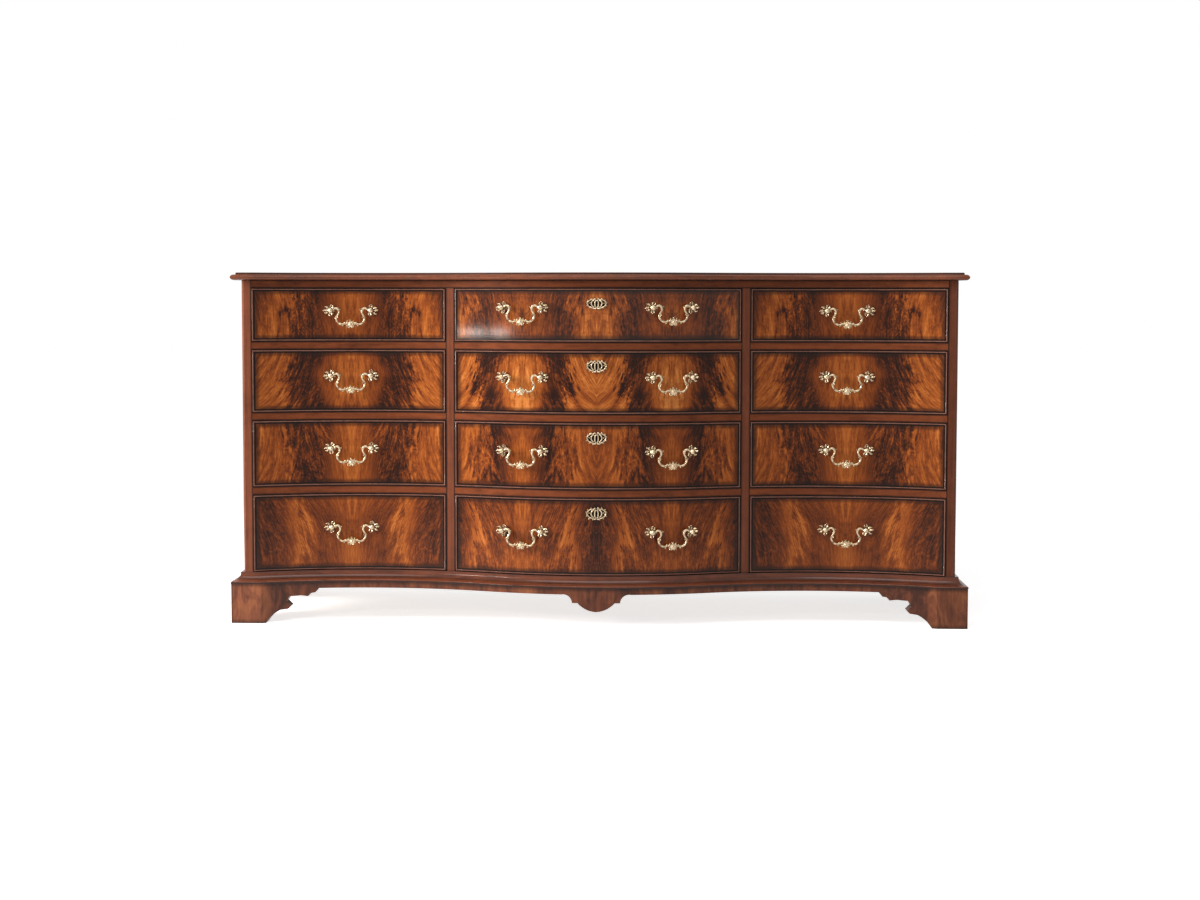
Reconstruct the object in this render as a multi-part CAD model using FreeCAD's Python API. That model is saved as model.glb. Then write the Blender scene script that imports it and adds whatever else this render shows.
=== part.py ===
import FreeCAD, Part
import math
import os

# A serpentine dresser of twelve drawers: four rows in three columns, on a bracket base.
# Millimetres. +X is to the right of the front, +Y to the back, +Z up.
# The origin is on the floor, at the centre of the whole piece.

# Overall sizes of the carcase
overall_height = 915.0
case_width = 1852.0
overall_depth = 556.0
side_thickness = 26.0
partition_thickness = 24.0
middle_opening_width = 748.0
back_thickness = 8.0
back_rabbet = 10.0
corner_chamfer = 6.0

# Heights, from the floor up. The four rows share what the other pieces leave.
foot_height = 104.0
base_moulding_height = 28.0
row_shares = {"bottom": 404.0, "lower": 347.0, "upper": 328.0, "top": 278.0}
rail_height = 21.5
top_rail_height = 20.0
top_thickness = 20.0

# Plan of the front: a bow between two hollows, and flat stiles at the ends
hollow_x = 571.0
hollow_depth = 60.0
bow_rise = 31.0

# Top board and base, seen as projections beyond the carcase
top_overhang = 24.0
top_nose = 10.0
top_nose_steps = 2
top_fillet_height = 5.0
top_fillet_inset = 12.0
top_flat_length = 57.0
base_projection = 30.0
base_flat_length = 80.0
base_cove_radius = 19.0
base_bead_radius = 3.0
base_cove_steps = 2
base_top_fillet = 3.0
plinth_inset = 1.0
plinth_thickness = 36.0
apron_height = 16.5
glue_block = 42.0
foot_block_lift = 3.0
rear_bracket_length = 120.0
rear_bracket_foot = 55.0
bracket_reach = 223.0

# Drop at the middle of the apron, half of it, from its tip to where it meets the strip
drop_tip_height = 43.0
drop_lobe = (27.0, 50.0)
drop_ear_start = 48.0
drop_ear_end = 62.0
drop_ear_height = 66.0
drop_ogee = (66.0, 78.0)
drop_half_width = 90.0

# Web frames that carry the drawers
rail_depth = 60.0
runner_width = 30.0
rear_rail_width = 30.0
dust_panel_thickness = 5.0
bottom_board_thickness = 18.0
stop_width = 40.0
stop_height = 7.0
stop_depth = 20.0
stop_gap = 0.3

# Drawers
front_gap = 1.5
front_thickness = 22.0
bead_width = 3.5
bead_proud = 2.5
box_side_thickness = 12.0
box_back_thickness = 12.0
box_side_clearance = 2.0
running_gap = 0.4
box_top_clearance = 3.0
box_back_drop = 8.0
box_rear_clearance = 20.0
bottom_panel_thickness = 6.0
bottom_panel_rise = 10.0
groove_depth = 6.0
groove_clearance = 0.2
dovetail_pitch = 46.0
dovetail_share = 0.70
dovetail_length = 11.0
dovetail_slope = 1 / 6
dovetail_root = 1.0
dovetail_clearance = 0.1

# Swan-neck handles
handle_spread = 105.0
handle_standoff = 17.0
middle_handle_x = 193.0
handle_drop = {"bottom": 88.0, "lower": 74.5, "upper": 69.0, "top": 58.0}
top_middle_handle_drop = 50.0
seat_clearance = 0.2
rose_radius = 16.0
rose_inner_radius = 11.0
rose_thickness = 2.0
rose_petals = 7
post_sides = 6
bore_sides = 6
pommel_radius = 6.8
pommel_neck_radius = 3.6
pommel_tip_radius = 3.6
pommel_rise = 6.5
shank_radius = 2.2
shank_clearance = 0.3
nut_radius = 5.5
nut_thickness = 4.0
nut_seat = 0.1
pivot_radius = 1.6
pivot_clearance = 0.08
pivot_short = 2.0
pivot_end_gap = 0.3
bail_thickness = 4.4
bail_half_width = 2.3
bail_knop_half_width = 9.0
bail_gap = 0.5
bail_eye_length = 4.0

# Escutcheons and locks of the middle column
lock_drop = 40.0
escutcheon_half_width = 27.5
escutcheon_half_height = 17.0
top_escutcheon_half_height = 15.0
escutcheon_thickness = 1.6
escutcheon_lobes = 8
escutcheon_lobe = 0.08
keyhole_radius = 2.6
keyhole_slot = 3.2
keyhole_length = 9.0
keyhole_sides = 6
lock_width = 60.0
lock_height = 54.0
lock_depth = 9.0
lock_clearance = 0.2

# Places that follow from the sizes above
half_case = case_width / 2
half_middle = middle_opening_width / 2
outer_opening_start = half_middle + partition_thickness
outer_opening_end = half_case - side_thickness
back_y = overall_depth / 2
inner_back_y = back_y - back_thickness
stile_y = -back_y + base_projection + bow_rise
hollow_y = stile_y + hollow_depth
case_bottom = foot_height
openings_bottom = foot_height + base_moulding_height
case_top = overall_height - top_thickness
openings_top = case_top - top_rail_height
rail_back_y = hollow_y + rail_depth
rear_rail_y = inner_back_y - rear_rail_width
box_back_y = inner_back_y - box_rear_clearance
columns = {
    "left": (-outer_opening_end, -outer_opening_start),
    "middle": (-half_middle, half_middle),
    "right": (outer_opening_start, outer_opening_end),
}

# Radii and centres of the two hollows and the bow, which meet in tangency
hollow_radius = ((outer_opening_end - hollow_x) ** 2 + hollow_depth**2) / (2 * hollow_depth)
bow_angle = 2 * math.atan((hollow_depth + bow_rise) / hollow_x)
bow_radius = hollow_x / math.sin(bow_angle) - hollow_radius
hollow_centre_y = hollow_y - hollow_radius
bow_centre_y = stile_y - bow_rise + bow_radius


def row_levels():
    """Lowest and highest Z of each row's openings, from the bottom row up."""
    levels = {}
    z = openings_bottom
    rails = (len(row_shares) - 1) * rail_height
    shared = openings_top - openings_bottom - rails
    for row, share in row_shares.items():
        height = shared * share / sum(row_shares.values())
        levels[row] = (z, z + height)
        z += height + rail_height
    return levels


rows = row_levels()


def tangent_x(offset):
    """Where the bow meets a hollow, on the front's curve moved forward by offset."""
    return (bow_radius + offset) * math.sin(bow_angle)


def front_y(x, offset=0.0):
    """Y of the serpentine front at x, moved forward by offset."""
    if abs(x) <= tangent_x(offset):
        return bow_centre_y - math.sqrt((bow_radius + offset) ** 2 - x**2)
    reach = hollow_radius - offset
    return hollow_centre_y + math.sqrt(reach**2 - (abs(x) - hollow_x) ** 2)


def point(x, y, z=0.0):
    return FreeCAD.Vector(x, y, z)


def line(a, b):
    return Part.LineSegment(a, b).toShape()


def polygon(points):
    """Closed flat face with straight sides."""
    return Part.Face(Part.makePolygon(list(points) + [points[0]]))


def box(x0, x1, y0, y1, z0, z1):
    return Part.makeBox(x1 - x0, y1 - y0, z1 - z0, point(x0, y0, z0))


def serpentine(x0, x1, offset, z):
    """Arcs of the front's curve from x0 to x1, in order."""
    joins = [x for x in (-tangent_x(offset), tangent_x(offset)) if x0 < x < x1]
    stops = [x0] + joins + [x1]
    edges = []
    for a, b in zip(stops, stops[1:]):
        middle = (a + b) / 2
        ends = [point(x, front_y(x, offset), z) for x in (a, middle, b)]
        edges.append(Part.Arc(*ends).toShape())
    return edges


def slab(x0, x1, front_offset, z0, z1, back=None, back_offset=None):
    """Board whose front edge follows the serpentine. Its back is straight, or follows it too."""
    front = serpentine(x0, x1, front_offset, z0)
    if back is None:
        rear = serpentine(x0, x1, back_offset, z0)
        y0, y1 = front_y(x0, back_offset), front_y(x1, back_offset)
    else:
        rear = [line(point(x0, back, z0), point(x1, back, z0))]
        y0 = y1 = back
    left = line(point(x0, front_y(x0, front_offset), z0), point(x0, y0, z0))
    right = line(point(x1, front_y(x1, front_offset), z0), point(x1, y1, z0))
    outline = Part.Wire(Part.__sortEdges__(front + rear + [left, right]))
    return Part.Face(outline).extrude(point(0, 0, z1 - z0))


def corner_flat(offset, outer_offset, flat_length):
    """X where an outline's end flat begins, and the flat's Y, at one offset of a moulded edge."""
    start = half_case + outer_offset - flat_length
    y = front_y(start, outer_offset) + outer_offset - offset
    reach = hollow_radius - offset
    return hollow_x + math.sqrt(reach**2 - (y - hollow_centre_y) ** 2), y


def moulded_outline(offset, outer_offset, flat_length, z):
    """Closed outline of the top or the base: serpentine front, flat ends and straight sides."""
    flat_x, flat_y = corner_flat(offset, outer_offset, flat_length)
    side_x = half_case + offset
    edges = [
        line(point(-side_x, back_y, z), point(-side_x, flat_y, z)),
        line(point(-side_x, flat_y, z), point(-flat_x, flat_y, z)),
    ]
    edges += serpentine(-flat_x, flat_x, offset, z)
    edges += [
        line(point(flat_x, flat_y, z), point(side_x, flat_y, z)),
        line(point(side_x, flat_y, z), point(side_x, back_y, z)),
        line(point(side_x, back_y, z), point(-side_x, back_y, z)),
    ]
    return Part.Wire(edges)


def carcase_prism(z0, z1):
    """The carcase's footprint as a solid: serpentine between flat stiles with chamfered corners."""
    start = outer_opening_end
    edge = half_case - corner_chamfer
    edges = serpentine(-start, start, 0.0, z0)
    path = [
        point(start, stile_y, z0),
        point(edge, stile_y, z0),
        point(half_case, stile_y + corner_chamfer, z0),
        point(half_case, back_y, z0),
        point(-half_case, back_y, z0),
        point(-half_case, stile_y + corner_chamfer, z0),
        point(-edge, stile_y, z0),
        point(-start, stile_y, z0),
    ]
    edges += [line(a, b) for a, b in zip(path, path[1:])]
    return Part.Face(Part.Wire(edges)).extrude(point(0, 0, z1 - z0))


def save(name, solids):
    """Writes one node: a single solid, or a group of separate solids."""
    shape = solids[0] if len(solids) == 1 else Part.makeCompound(solids)
    shape.exportStep(f"parts/{name}.step")


# Carcase


def make_top():
    """Top board with a rounded nose under a small fillet, flush at the back."""
    nose_height = top_thickness - top_fillet_height
    nose_middle = case_top + nose_height / 2
    flat = top_overhang - top_nose
    profile = []
    for step in range(-top_nose_steps, top_nose_steps + 1):
        turn = math.pi / 2 * step / top_nose_steps
        profile.append((flat + top_nose * math.cos(turn), nose_middle + nose_height / 2 * math.sin(turn)))
    fillet = top_overhang - top_fillet_inset
    profile += [(fillet, case_top + nose_height), (fillet, overall_height)]
    outlines = [moulded_outline(o, top_overhang, top_flat_length, z) for o, z in profile]
    lower = Part.makeLoft(outlines[:-2], True, True)
    upper = Part.makeLoft(outlines[-2:], True, True)
    return [lower.fuse(upper).removeSplitter().Solids[0]]


def make_side_panels():
    """Two end panels. Their front edges are the flat stiles, and the back is rabbeted."""
    prism = carcase_prism(case_bottom, case_top)
    panels = []
    for side in (-1, 1):
        inner, outer = sorted((side * outer_opening_end, side * half_case))
        panel = prism.common(box(inner, outer, -back_y, back_y, case_bottom, case_top))
        x0, x1 = sorted((side * outer_opening_end, side * (outer_opening_end + back_rabbet)))
        panels.append(panel.cut(box(x0, x1, inner_back_y, back_y, case_bottom, case_top)).Solids[0])
    return panels


def make_partitions():
    """Two uprights between the columns."""
    spans = ((-outer_opening_start, -half_middle), (half_middle, outer_opening_start))
    return [slab(x0, x1, 0.0, openings_bottom, openings_top, back=inner_back_y) for x0, x1 in spans]


def make_back():
    """One thin panel let into the rabbets of the sides."""
    edge = outer_opening_end + back_rabbet
    return [box(-edge, edge, inner_back_y, back_y, case_bottom, case_top)]


def frame_levels():
    """Z of the top of every web frame between two rows."""
    return [rows[row][0] for row in ("lower", "upper", "top")]


def make_front_rails():
    """Rails that show between the drawers, and the full-width rails above and below them."""
    end = outer_opening_end
    rails = [
        slab(-end, end, 0.0, case_bottom, openings_bottom, back=rail_back_y),
        slab(-end, end, 0.0, openings_top, case_top, back=rail_back_y),
    ]
    for level in frame_levels():
        for x0, x1 in columns.values():
            rails.append(slab(x0, x1, 0.0, level - rail_height, level, back=rail_back_y))
    return rails


def make_stop(x0, x1, level):
    """Block behind the drawer front that sets where the drawer stops."""
    centre = (x0 + x1) / 2
    reach = front_thickness + stop_gap
    start, end = centre - stop_width / 2, centre + stop_width / 2
    back = max(front_y(x, -reach) for x in (start, centre, end)) + stop_depth
    return slab(start, end, -reach, level, level + stop_height, back=back)


def make_web_frames():
    """Runners, rear rails, dust panels and stops at each level, the bottom board and top bearers."""
    end = outer_opening_end
    pieces = [
        box(-end, end, rail_back_y, inner_back_y, openings_bottom - bottom_board_thickness, openings_bottom),
        box(-end, end, rear_rail_y, inner_back_y, openings_top, case_top),
    ]
    bearer_half = partition_thickness / 2 + runner_width / 3
    partition_x = half_middle + partition_thickness / 2
    spans = [(-end, -end + runner_width), (end - runner_width, end)]
    spans += [(x - bearer_half, x + bearer_half) for x in (-partition_x, partition_x)]
    pieces += [box(x0, x1, rail_back_y, rear_rail_y, openings_top, case_top) for x0, x1 in spans]
    for level in frame_levels():
        z0 = level - rail_height
        panel_z = z0 + (rail_height - dust_panel_thickness) / 2
        for x0, x1 in columns.values():
            inner0, inner1 = x0 + runner_width, x1 - runner_width
            pieces.append(box(x0, inner0, rail_back_y, inner_back_y, z0, level))
            pieces.append(box(inner1, x1, rail_back_y, inner_back_y, z0, level))
            pieces.append(box(inner0, inner1, rear_rail_y, inner_back_y, z0, level))
            panel_top = panel_z + dust_panel_thickness
            pieces.append(box(inner0, inner1, rail_back_y, rear_rail_y, panel_z, panel_top))
    for row in rows:
        pieces += [make_stop(x0, x1, rows[row][0]) for x0, x1 in columns.values()]
    return pieces


# Base


def mitre_wedge(side):
    """Everything beyond the mitre of a front corner, on the side's part of the base."""
    flat_x, flat_y = corner_flat(base_projection, base_projection, base_flat_length)
    outer = point(side * (half_case + base_projection), flat_y)
    inner = point(side * (half_case - corner_chamfer / 2), stile_y + corner_chamfer / 2)
    away = (outer - inner).normalize()
    start = inner - away * overall_depth / 2
    corner = outer + away * overall_depth / 2
    far_x = side * (half_case + overall_depth)
    points = [start, corner, point(far_x, corner.y), point(far_x, 2 * back_y), point(start.x, 2 * back_y)]
    return polygon(points).extrude(point(0, 0, openings_bottom))


def make_base_moulding():
    """Coved moulding round the foot of the carcase: a front length and two returns, mitred."""
    cove_top = openings_bottom - base_top_fillet
    cove_bottom = cove_top - base_cove_radius
    edge = base_projection - base_bead_radius
    profile = [(base_projection, foot_height), (base_projection, cove_bottom - base_bead_radius)]
    profile.append((edge, cove_bottom))
    for step in range(1, base_cove_steps + 1):
        turn = math.pi / 2 * (1 - step / base_cove_steps)
        profile.append((edge - base_cove_radius * math.cos(turn), cove_top - base_cove_radius * math.sin(turn)))
    profile.append((edge - base_cove_radius, openings_bottom))
    outlines = [moulded_outline(o, base_projection, base_flat_length, z) for o, z in profile]
    whole = Part.makeLoft(outlines, True, True).cut(carcase_prism(0.0, openings_bottom + 1))
    left, right = mitre_wedge(-1), mitre_wedge(1)
    return whole.cut(left).cut(right).Solids + whole.common(left).Solids + whole.common(right).Solids


def arc_path(stretches):
    """Edges through a list of stretches: two points make a line, three an arc."""
    edges = []
    for stretch in stretches:
        points = [point(x, 0, z) for x, z in stretch]
        edges.append(line(*points) if len(points) == 2 else Part.Arc(*points).toShape())
    return edges


def bracket_profile(reach):
    """Front view of a bracket foot, from its outer corner: ogee, beak, hollow and stepped lobe."""
    strip = foot_height - apron_height
    return [
        ((0, 0), (90, 0)),
        ((90, 0), (106, 20), (126, 33)),
        ((126, 33), (145, 35)),
        ((145, 35), (152, 42)),
        ((152, 42), (141, 54)),
        ((141, 54), (149, 68)),
        ((149, 68), (178, 69.5)),
        ((178, 69.5), (196, 67)),
        ((196, 67), (203, 75)),
        ((203, 75), (214, 76.5)),
        ((214, 76.5), (reach, strip)),
        ((reach, strip), (reach, foot_height)),
        ((reach, foot_height), (0, foot_height)),
        ((0, foot_height), (0, 0)),
    ]


def pendant_profile(half_width):
    """Front view of the apron: a straight strip with a lobed drop at its centre."""
    strip = foot_height - apron_height
    start, end = (drop_ear_start, drop_ear_height), (drop_ear_end, drop_ear_height)
    shoulder = (drop_half_width, strip)
    half = [
        ((0, drop_tip_height), drop_lobe, start),
        (start, end),
        (end, drop_ogee, shoulder),
        (shoulder, (half_width, strip)),
        ((half_width, strip), (half_width, foot_height)),
    ]
    other = [tuple((-x, z) for x, z in stretch) for stretch in half]
    return half + other + [((-half_width, foot_height), (half_width, foot_height))]


def plinth_ring():
    """The band in plan that the base's boards fill, under the moulding."""
    outer = base_projection - plinth_inset
    inner = outer - plinth_thickness
    ring = Part.Face(moulded_outline(outer, base_projection, base_flat_length, 0.0))
    hole = Part.Face(moulded_outline(inner, base_projection, base_flat_length, 0.0))
    return ring.extrude(point(0, 0, foot_height)).cut(hole.extrude(point(0, 0, foot_height)))


def profile_prism(stretches, start, direction):
    """A flat profile in X and Z, placed at start and swept by direction."""
    wire = Part.Wire(Part.__sortEdges__(arc_path(stretches)))
    face = Part.Face(wire)
    face.translate(start)
    return face.extrude(direction)


def make_bracket_base():
    """Bracket feet, front apron with its drop, side aprons, rear brackets and glue blocks."""
    ring = plinth_ring()
    outer_x = half_case + base_projection - plinth_inset
    deep = point(0, 2 * overall_depth, 0)
    wedges = {side: mitre_wedge(side) for side in (-1, 1)}
    apron_end = outer_x - bracket_reach
    apron = profile_prism(pendant_profile(apron_end), point(0, -overall_depth, 0), point(0, overall_depth, 0))
    pieces = ring.common(apron).Solids
    foot = profile_prism(bracket_profile(bracket_reach), point(-outer_x, -overall_depth, 0), deep)
    flat_y = corner_flat(base_projection - plinth_inset, base_projection, base_flat_length)[1]
    inner_x = outer_x - plinth_thickness
    strip_z = foot_height - apron_height
    through = point(0, plinth_thickness * 2, 0)
    for side in (-1, 1):
        front = foot if side < 0 else foot.mirror(point(0, 0, 0), point(1, 0, 0))
        half = box(-outer_x, outer_x, -overall_depth, 0.0, 0.0, foot_height)
        pieces += ring.common(front).common(half).cut(wedges[side]).Solids
        bracket = profile_prism(bracket_profile(bracket_reach), point(0, 0, 0), through)
        turned = bracket.copy()
        turned.rotate(point(0, 0, 0), point(0, 0, 1), 90)
        near = turned.copy()
        near.translate(point(side * outer_x + plinth_thickness, flat_y, 0))
        far = turned.mirror(point(0, 0, 0), point(0, 1, 0))
        far.translate(point(side * outer_x + plinth_thickness, back_y, 0))
        x0, x1 = sorted((side * inner_x, side * outer_x))
        strip = box(x0, x1, flat_y + bracket_reach, back_y - bracket_reach, strip_z, foot_height)
        board = near.fuse([far, strip]).common(wedges[side])
        board = board.common(box(x0, x1, -back_y, back_y, 0.0, foot_height))
        pieces += board.removeSplitter().Solids
        foot_end = inner_x - rear_bracket_foot
        bracket_end = inner_x - rear_bracket_length
        rear = [
            point(side * inner_x, back_y, 0),
            point(side * foot_end, back_y, 0),
            point(side * bracket_end, back_y, strip_z),
            point(side * bracket_end, back_y, foot_height),
            point(side * inner_x, back_y, foot_height),
        ]
        pieces.append(polygon(rear).extrude(point(0, -plinth_thickness, 0)))
        block_x = sorted((side * inner_x, side * (inner_x - glue_block)))
        front_y0 = flat_y + plinth_thickness
        rear_y1 = back_y - plinth_thickness
        pieces.append(box(*block_x, front_y0, front_y0 + glue_block, foot_block_lift, foot_height))
        pieces.append(box(*block_x, rear_y1 - glue_block, rear_y1, foot_block_lift, foot_height))
    return pieces


# Drawers


def drawer_box_levels(row):
    """Lowest and highest Z of a drawer's sides."""
    z0, z1 = rows[row]
    return z0 + running_gap, z1 - box_top_clearance


def side_spans(column):
    """X ranges of a drawer's two sides."""
    x0, x1 = columns[column]
    left, right = x0 + box_side_clearance, x1 - box_side_clearance
    return (left, left + box_side_thickness), (right - box_side_thickness, right)


def dovetails(row, span, ends, extra=0.0):
    """Tails at the front end of a drawer side between two x ends. Sockets have extra size."""
    z0, z1 = drawer_box_levels(row)
    count = round((z1 - z0) / dovetail_pitch)
    pitch = (z1 - z0) / count
    backs = [front_y(x, -front_thickness) for x in span]
    root, tip = max(backs) + dovetail_root, min(backs) - dovetail_length - extra
    wide = dovetail_share * pitch / 2 + extra
    narrow = wide - dovetail_slope * (root - tip)
    low, high = ends
    tails = []
    for i in range(count):
        z = z0 + pitch * (i + 0.5)
        outline = [(root, z - narrow), (tip, z - wide), (tip, z + wide), (root, z + narrow)]
        tails.append(polygon([point(low, y, z) for y, z in outline]).extrude(point(high - low, 0, 0)))
    return tails


def handle_places(row, column):
    """X and Z of the middle of each handle on a drawer."""
    x0, x1 = columns[column]
    drop = handle_drop[row]
    if column != "middle":
        return [((x0 + x1) / 2, rows[row][1] - drop)]
    if row == "top":
        drop = top_middle_handle_drop
    return [(-middle_handle_x, rows[row][1] - drop), (middle_handle_x, rows[row][1] - drop)]


class HandleFrame:
    """Where a handle sits: its centre, its direction along the front, and its pivot line."""

    def __init__(self, x, z):
        on_bow = abs(x) < tangent_x(0.0)
        self.arc_x = 0.0 if on_bow else math.copysign(hollow_x, x)
        self.arc_y = bow_centre_y if on_bow else hollow_centre_y
        self.radius = bow_radius if on_bow else hollow_radius
        self.sense = 1 if on_bow else -1
        self.centre = point(self.arc_x, self.arc_y, z)
        face = point(x, front_y(x), z)
        self.normal = ((face - self.centre) * self.sense).normalize()
        self.along = point(-self.normal.y, self.normal.x, 0)
        reach = self.radius + self.sense * handle_standoff
        height = self.sense * (math.sqrt(reach**2 - (handle_spread / 2) ** 2) - self.radius)
        self.pivot = face + self.normal * height
        self.turn = math.degrees(math.atan2(self.along.y, self.along.x))

    def post(self, side):
        """Foot point on the drawer front and outward direction of one post."""
        pivot = self.pivot + self.along * (side * handle_spread / 2)
        outward = ((pivot - self.centre) * self.sense).normalize()
        return pivot - outward * handle_standoff, outward


def ring_wire(radius, count, height, radius_between=None):
    """Polygon round Z at one height. With two radii it is a star of petals."""
    points = []
    total = count if radius_between is None else 2 * count
    for i in range(total):
        turn = 2 * math.pi * (i + 0.5) / total
        reach = radius if radius_between is None or i % 2 == 0 else radius_between
        points.append(point(reach * math.cos(turn), reach * math.sin(turn), height))
    return Part.makePolygon(points + [points[0]])


def tapered(rings):
    """Solid with flat sides through a stack of similar rings."""
    bottom, top = rings[0], rings[-1]
    faces = [Part.Face(bottom), Part.Face(top)]
    for low, high in zip(rings, rings[1:]):
        a, b = [v.Point for v in low.OrderedVertexes], [v.Point for v in high.OrderedVertexes]
        faces += [polygon([a[i - 1], a[i], b[i], b[i - 1]]) for i in range(len(a))]
    return Part.Solid(Part.Shell(faces))


def stand(shape, foot, outward):
    """Turns a shape built round +Z to point outward, and moves it to its foot."""
    placed = shape.copy()
    placed.rotate(point(0, 0, 0), point(1, 0, 0), 90)
    placed.rotate(point(0, 0, 0), point(0, 0, 1), math.degrees(math.atan2(outward.x, -outward.y)))
    placed.translate(foot)
    return placed


def pivot_bar(frame, side, inner, outer, section):
    """Bar of a given section on a handle's pivot line, between two distances from its middle."""
    bar = Part.Face(section).extrude(point(0, 0, outer - inner))
    bar.translate(point(0, 0, inner))
    bar.rotate(point(0, 0, 0), point(0, 1, 0), 90 * side)
    bar.rotate(point(0, 0, 0), point(0, 0, 1), frame.turn)
    bar.translate(frame.pivot)
    return bar


def make_post(frame, side):
    """Cast post: leafy rose, pommel with the pivot hole, and a shank through the drawer front."""
    rose = Part.Face(ring_wire(rose_radius, rose_petals, seat_clearance, rose_inner_radius))
    rose = rose.extrude(point(0, 0, rose_thickness))
    rings = [
        ring_wire(pommel_neck_radius, post_sides, seat_clearance + rose_thickness),
        ring_wire(pommel_radius, post_sides, handle_standoff),
        ring_wire(pommel_tip_radius, post_sides, handle_standoff + pommel_rise),
    ]
    pommel = tapered(rings)
    shank = Part.Face(ring_wire(shank_radius, 4, -front_thickness - nut_seat))
    shank = shank.extrude(point(0, 0, front_thickness + nut_seat + 2 * seat_clearance))
    foot, outward = frame.post(side)
    post = stand(rose.fuse([pommel, shank]).removeSplitter(), foot, outward)
    end = handle_spread / 2 - pivot_short + pivot_end_gap
    bore = (pivot_radius + pivot_clearance) / math.cos(math.pi / bore_sides)
    hole = pivot_bar(frame, side, 0, end, ring_wire(bore, bore_sides, 0))
    return post.cut(hole).Solids[0]


def make_nut(frame, side):
    """Square cap nut on the end of the shank, behind the drawer front."""
    nut = Part.Face(ring_wire(nut_radius, 4, -front_thickness - nut_thickness))
    nut = nut.extrude(point(0, 0, nut_thickness - nut_seat))
    foot, outward = frame.post(side)
    return stand(nut, foot, outward)


def shank_hole(frame, side):
    """Square hole for one shank."""
    foot, outward = frame.post(side)
    hole = Part.Face(ring_wire(shank_radius + shank_clearance, 4, -2 * front_thickness))
    return stand(hole.extrude(point(0, 0, 3 * front_thickness)), foot, outward)


def bail_outline():
    """Front view of a bail: swan necks in from the pivots, down to a shell at the middle."""
    end = handle_spread / 2 - pommel_radius - bail_gap
    half = [
        (end, 0),
        (end - bail_eye_length, 0),
        (38, 5),
        (29, 3),
        (28, -5),
        (36, -17),
        (33, -31),
        (23, -35),
        (10, -33),
    ]
    widths = [bail_half_width] * len(half)
    path = half + [(0, -35.5)] + [(-x, z) for x, z in reversed(half)]
    widths = widths + [bail_knop_half_width] + widths[::-1]
    upper, lower = [], []
    for i, (x, z) in enumerate(path):
        x0, z0 = path[max(i - 1, 0)]
        x1, z1 = path[min(i + 1, len(path) - 1)]
        length = math.hypot(x1 - x0, z1 - z0)
        across, up = -(z1 - z0) / length * widths[i], (x1 - x0) / length * widths[i]
        upper.append((x + across, z + up))
        lower.append((x - across, z - up))
    return upper + lower[::-1]


def make_bail(frame):
    """Bail hanging from its two posts, with a pivot pin at each end."""
    outline = [point(x, -bail_thickness / 2, z) for x, z in bail_outline()]
    bar = polygon(outline).extrude(point(0, bail_thickness, 0))
    bar.rotate(point(0, 0, 0), point(0, 0, 1), frame.turn)
    bar.translate(frame.pivot)
    inner = handle_spread / 2 - pommel_radius - bail_gap - bail_half_width
    outer = handle_spread / 2 - pivot_short
    section = Part.Wire(Part.makeCircle(pivot_radius))
    pins = [pivot_bar(frame, side, inner, outer, section) for side in (-1, 1)]
    return [bar.fuse(pins).removeSplitter().Solids[0]]


def keyhole(z, depth):
    """Keyhole cutter at the middle of the front: a round head over a narrow slot."""
    y = -back_y
    half = keyhole_slot / 2
    start = math.asin(half / keyhole_radius)
    outline = [point(half, y, z - keyhole_length), point(-half, y, z - keyhole_length)]
    for i in range(keyhole_sides + 1):
        turn = -math.pi / 2 - start - (2 * math.pi - 2 * start) * i / keyhole_sides
        outline.append(point(keyhole_radius * math.cos(turn), y, z + keyhole_radius * math.sin(turn)))
    return polygon(outline).extrude(point(0, depth, 0))


def make_escutcheon(row, z):
    """Lobed oval plate on the crest of the bow, with its keyhole."""
    half_height = top_escutcheon_half_height if row == "top" else escutcheon_half_height
    outline = []
    for i in range(2 * escutcheon_lobes):
        turn = math.pi * i / escutcheon_lobes
        reach = 1 - escutcheon_lobe * (i % 2)
        across, up = reach * math.cos(turn), reach * math.sin(turn)
        outline.append(point(escutcheon_half_width * across, front_y(0), z + half_height * up))
    plate = polygon(outline).extrude(point(0, -escutcheon_thickness, 0))
    return plate.cut(keyhole(z, overall_depth / 2)).Solids[0]


def lock_block(row, extra, behind):
    """Half-mortise lock in the back of a middle drawer's front, or the mortise for it."""
    top = rows[row][1] - front_gap
    half = lock_width / 2 + extra
    back = bow_centre_y - bow_radius + front_thickness
    return box(-half, half, back - lock_depth - extra, back + behind, top - lock_height - extra, top)


def make_fittings(row, column):
    """Brass posts, nuts, and in the middle column the escutcheon and lock."""
    pieces = []
    for x, z in handle_places(row, column):
        frame = HandleFrame(x, z)
        for side in (-1, 1):
            pieces += [make_post(frame, side), make_nut(frame, side)]
    if column == "middle":
        z = rows[row][1] - lock_drop
        pieces.append(make_escutcheon(row, z))
        pieces.append(lock_block(row, 0.0, 0.0))
    return pieces


def bottom_panel(row, column, extra=0.0):
    """Drawer bottom, let into grooves in the sides, from the front to under the back."""
    z = drawer_box_levels(row)[0] + bottom_panel_rise
    (_, left), (right, _) = side_spans(column)
    reach = groove_depth + extra
    x0, x1 = left - reach, right + reach
    top = z + bottom_panel_thickness + extra
    return slab(x0, x1, -front_thickness, z - extra, top, back=box_back_y)


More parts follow.
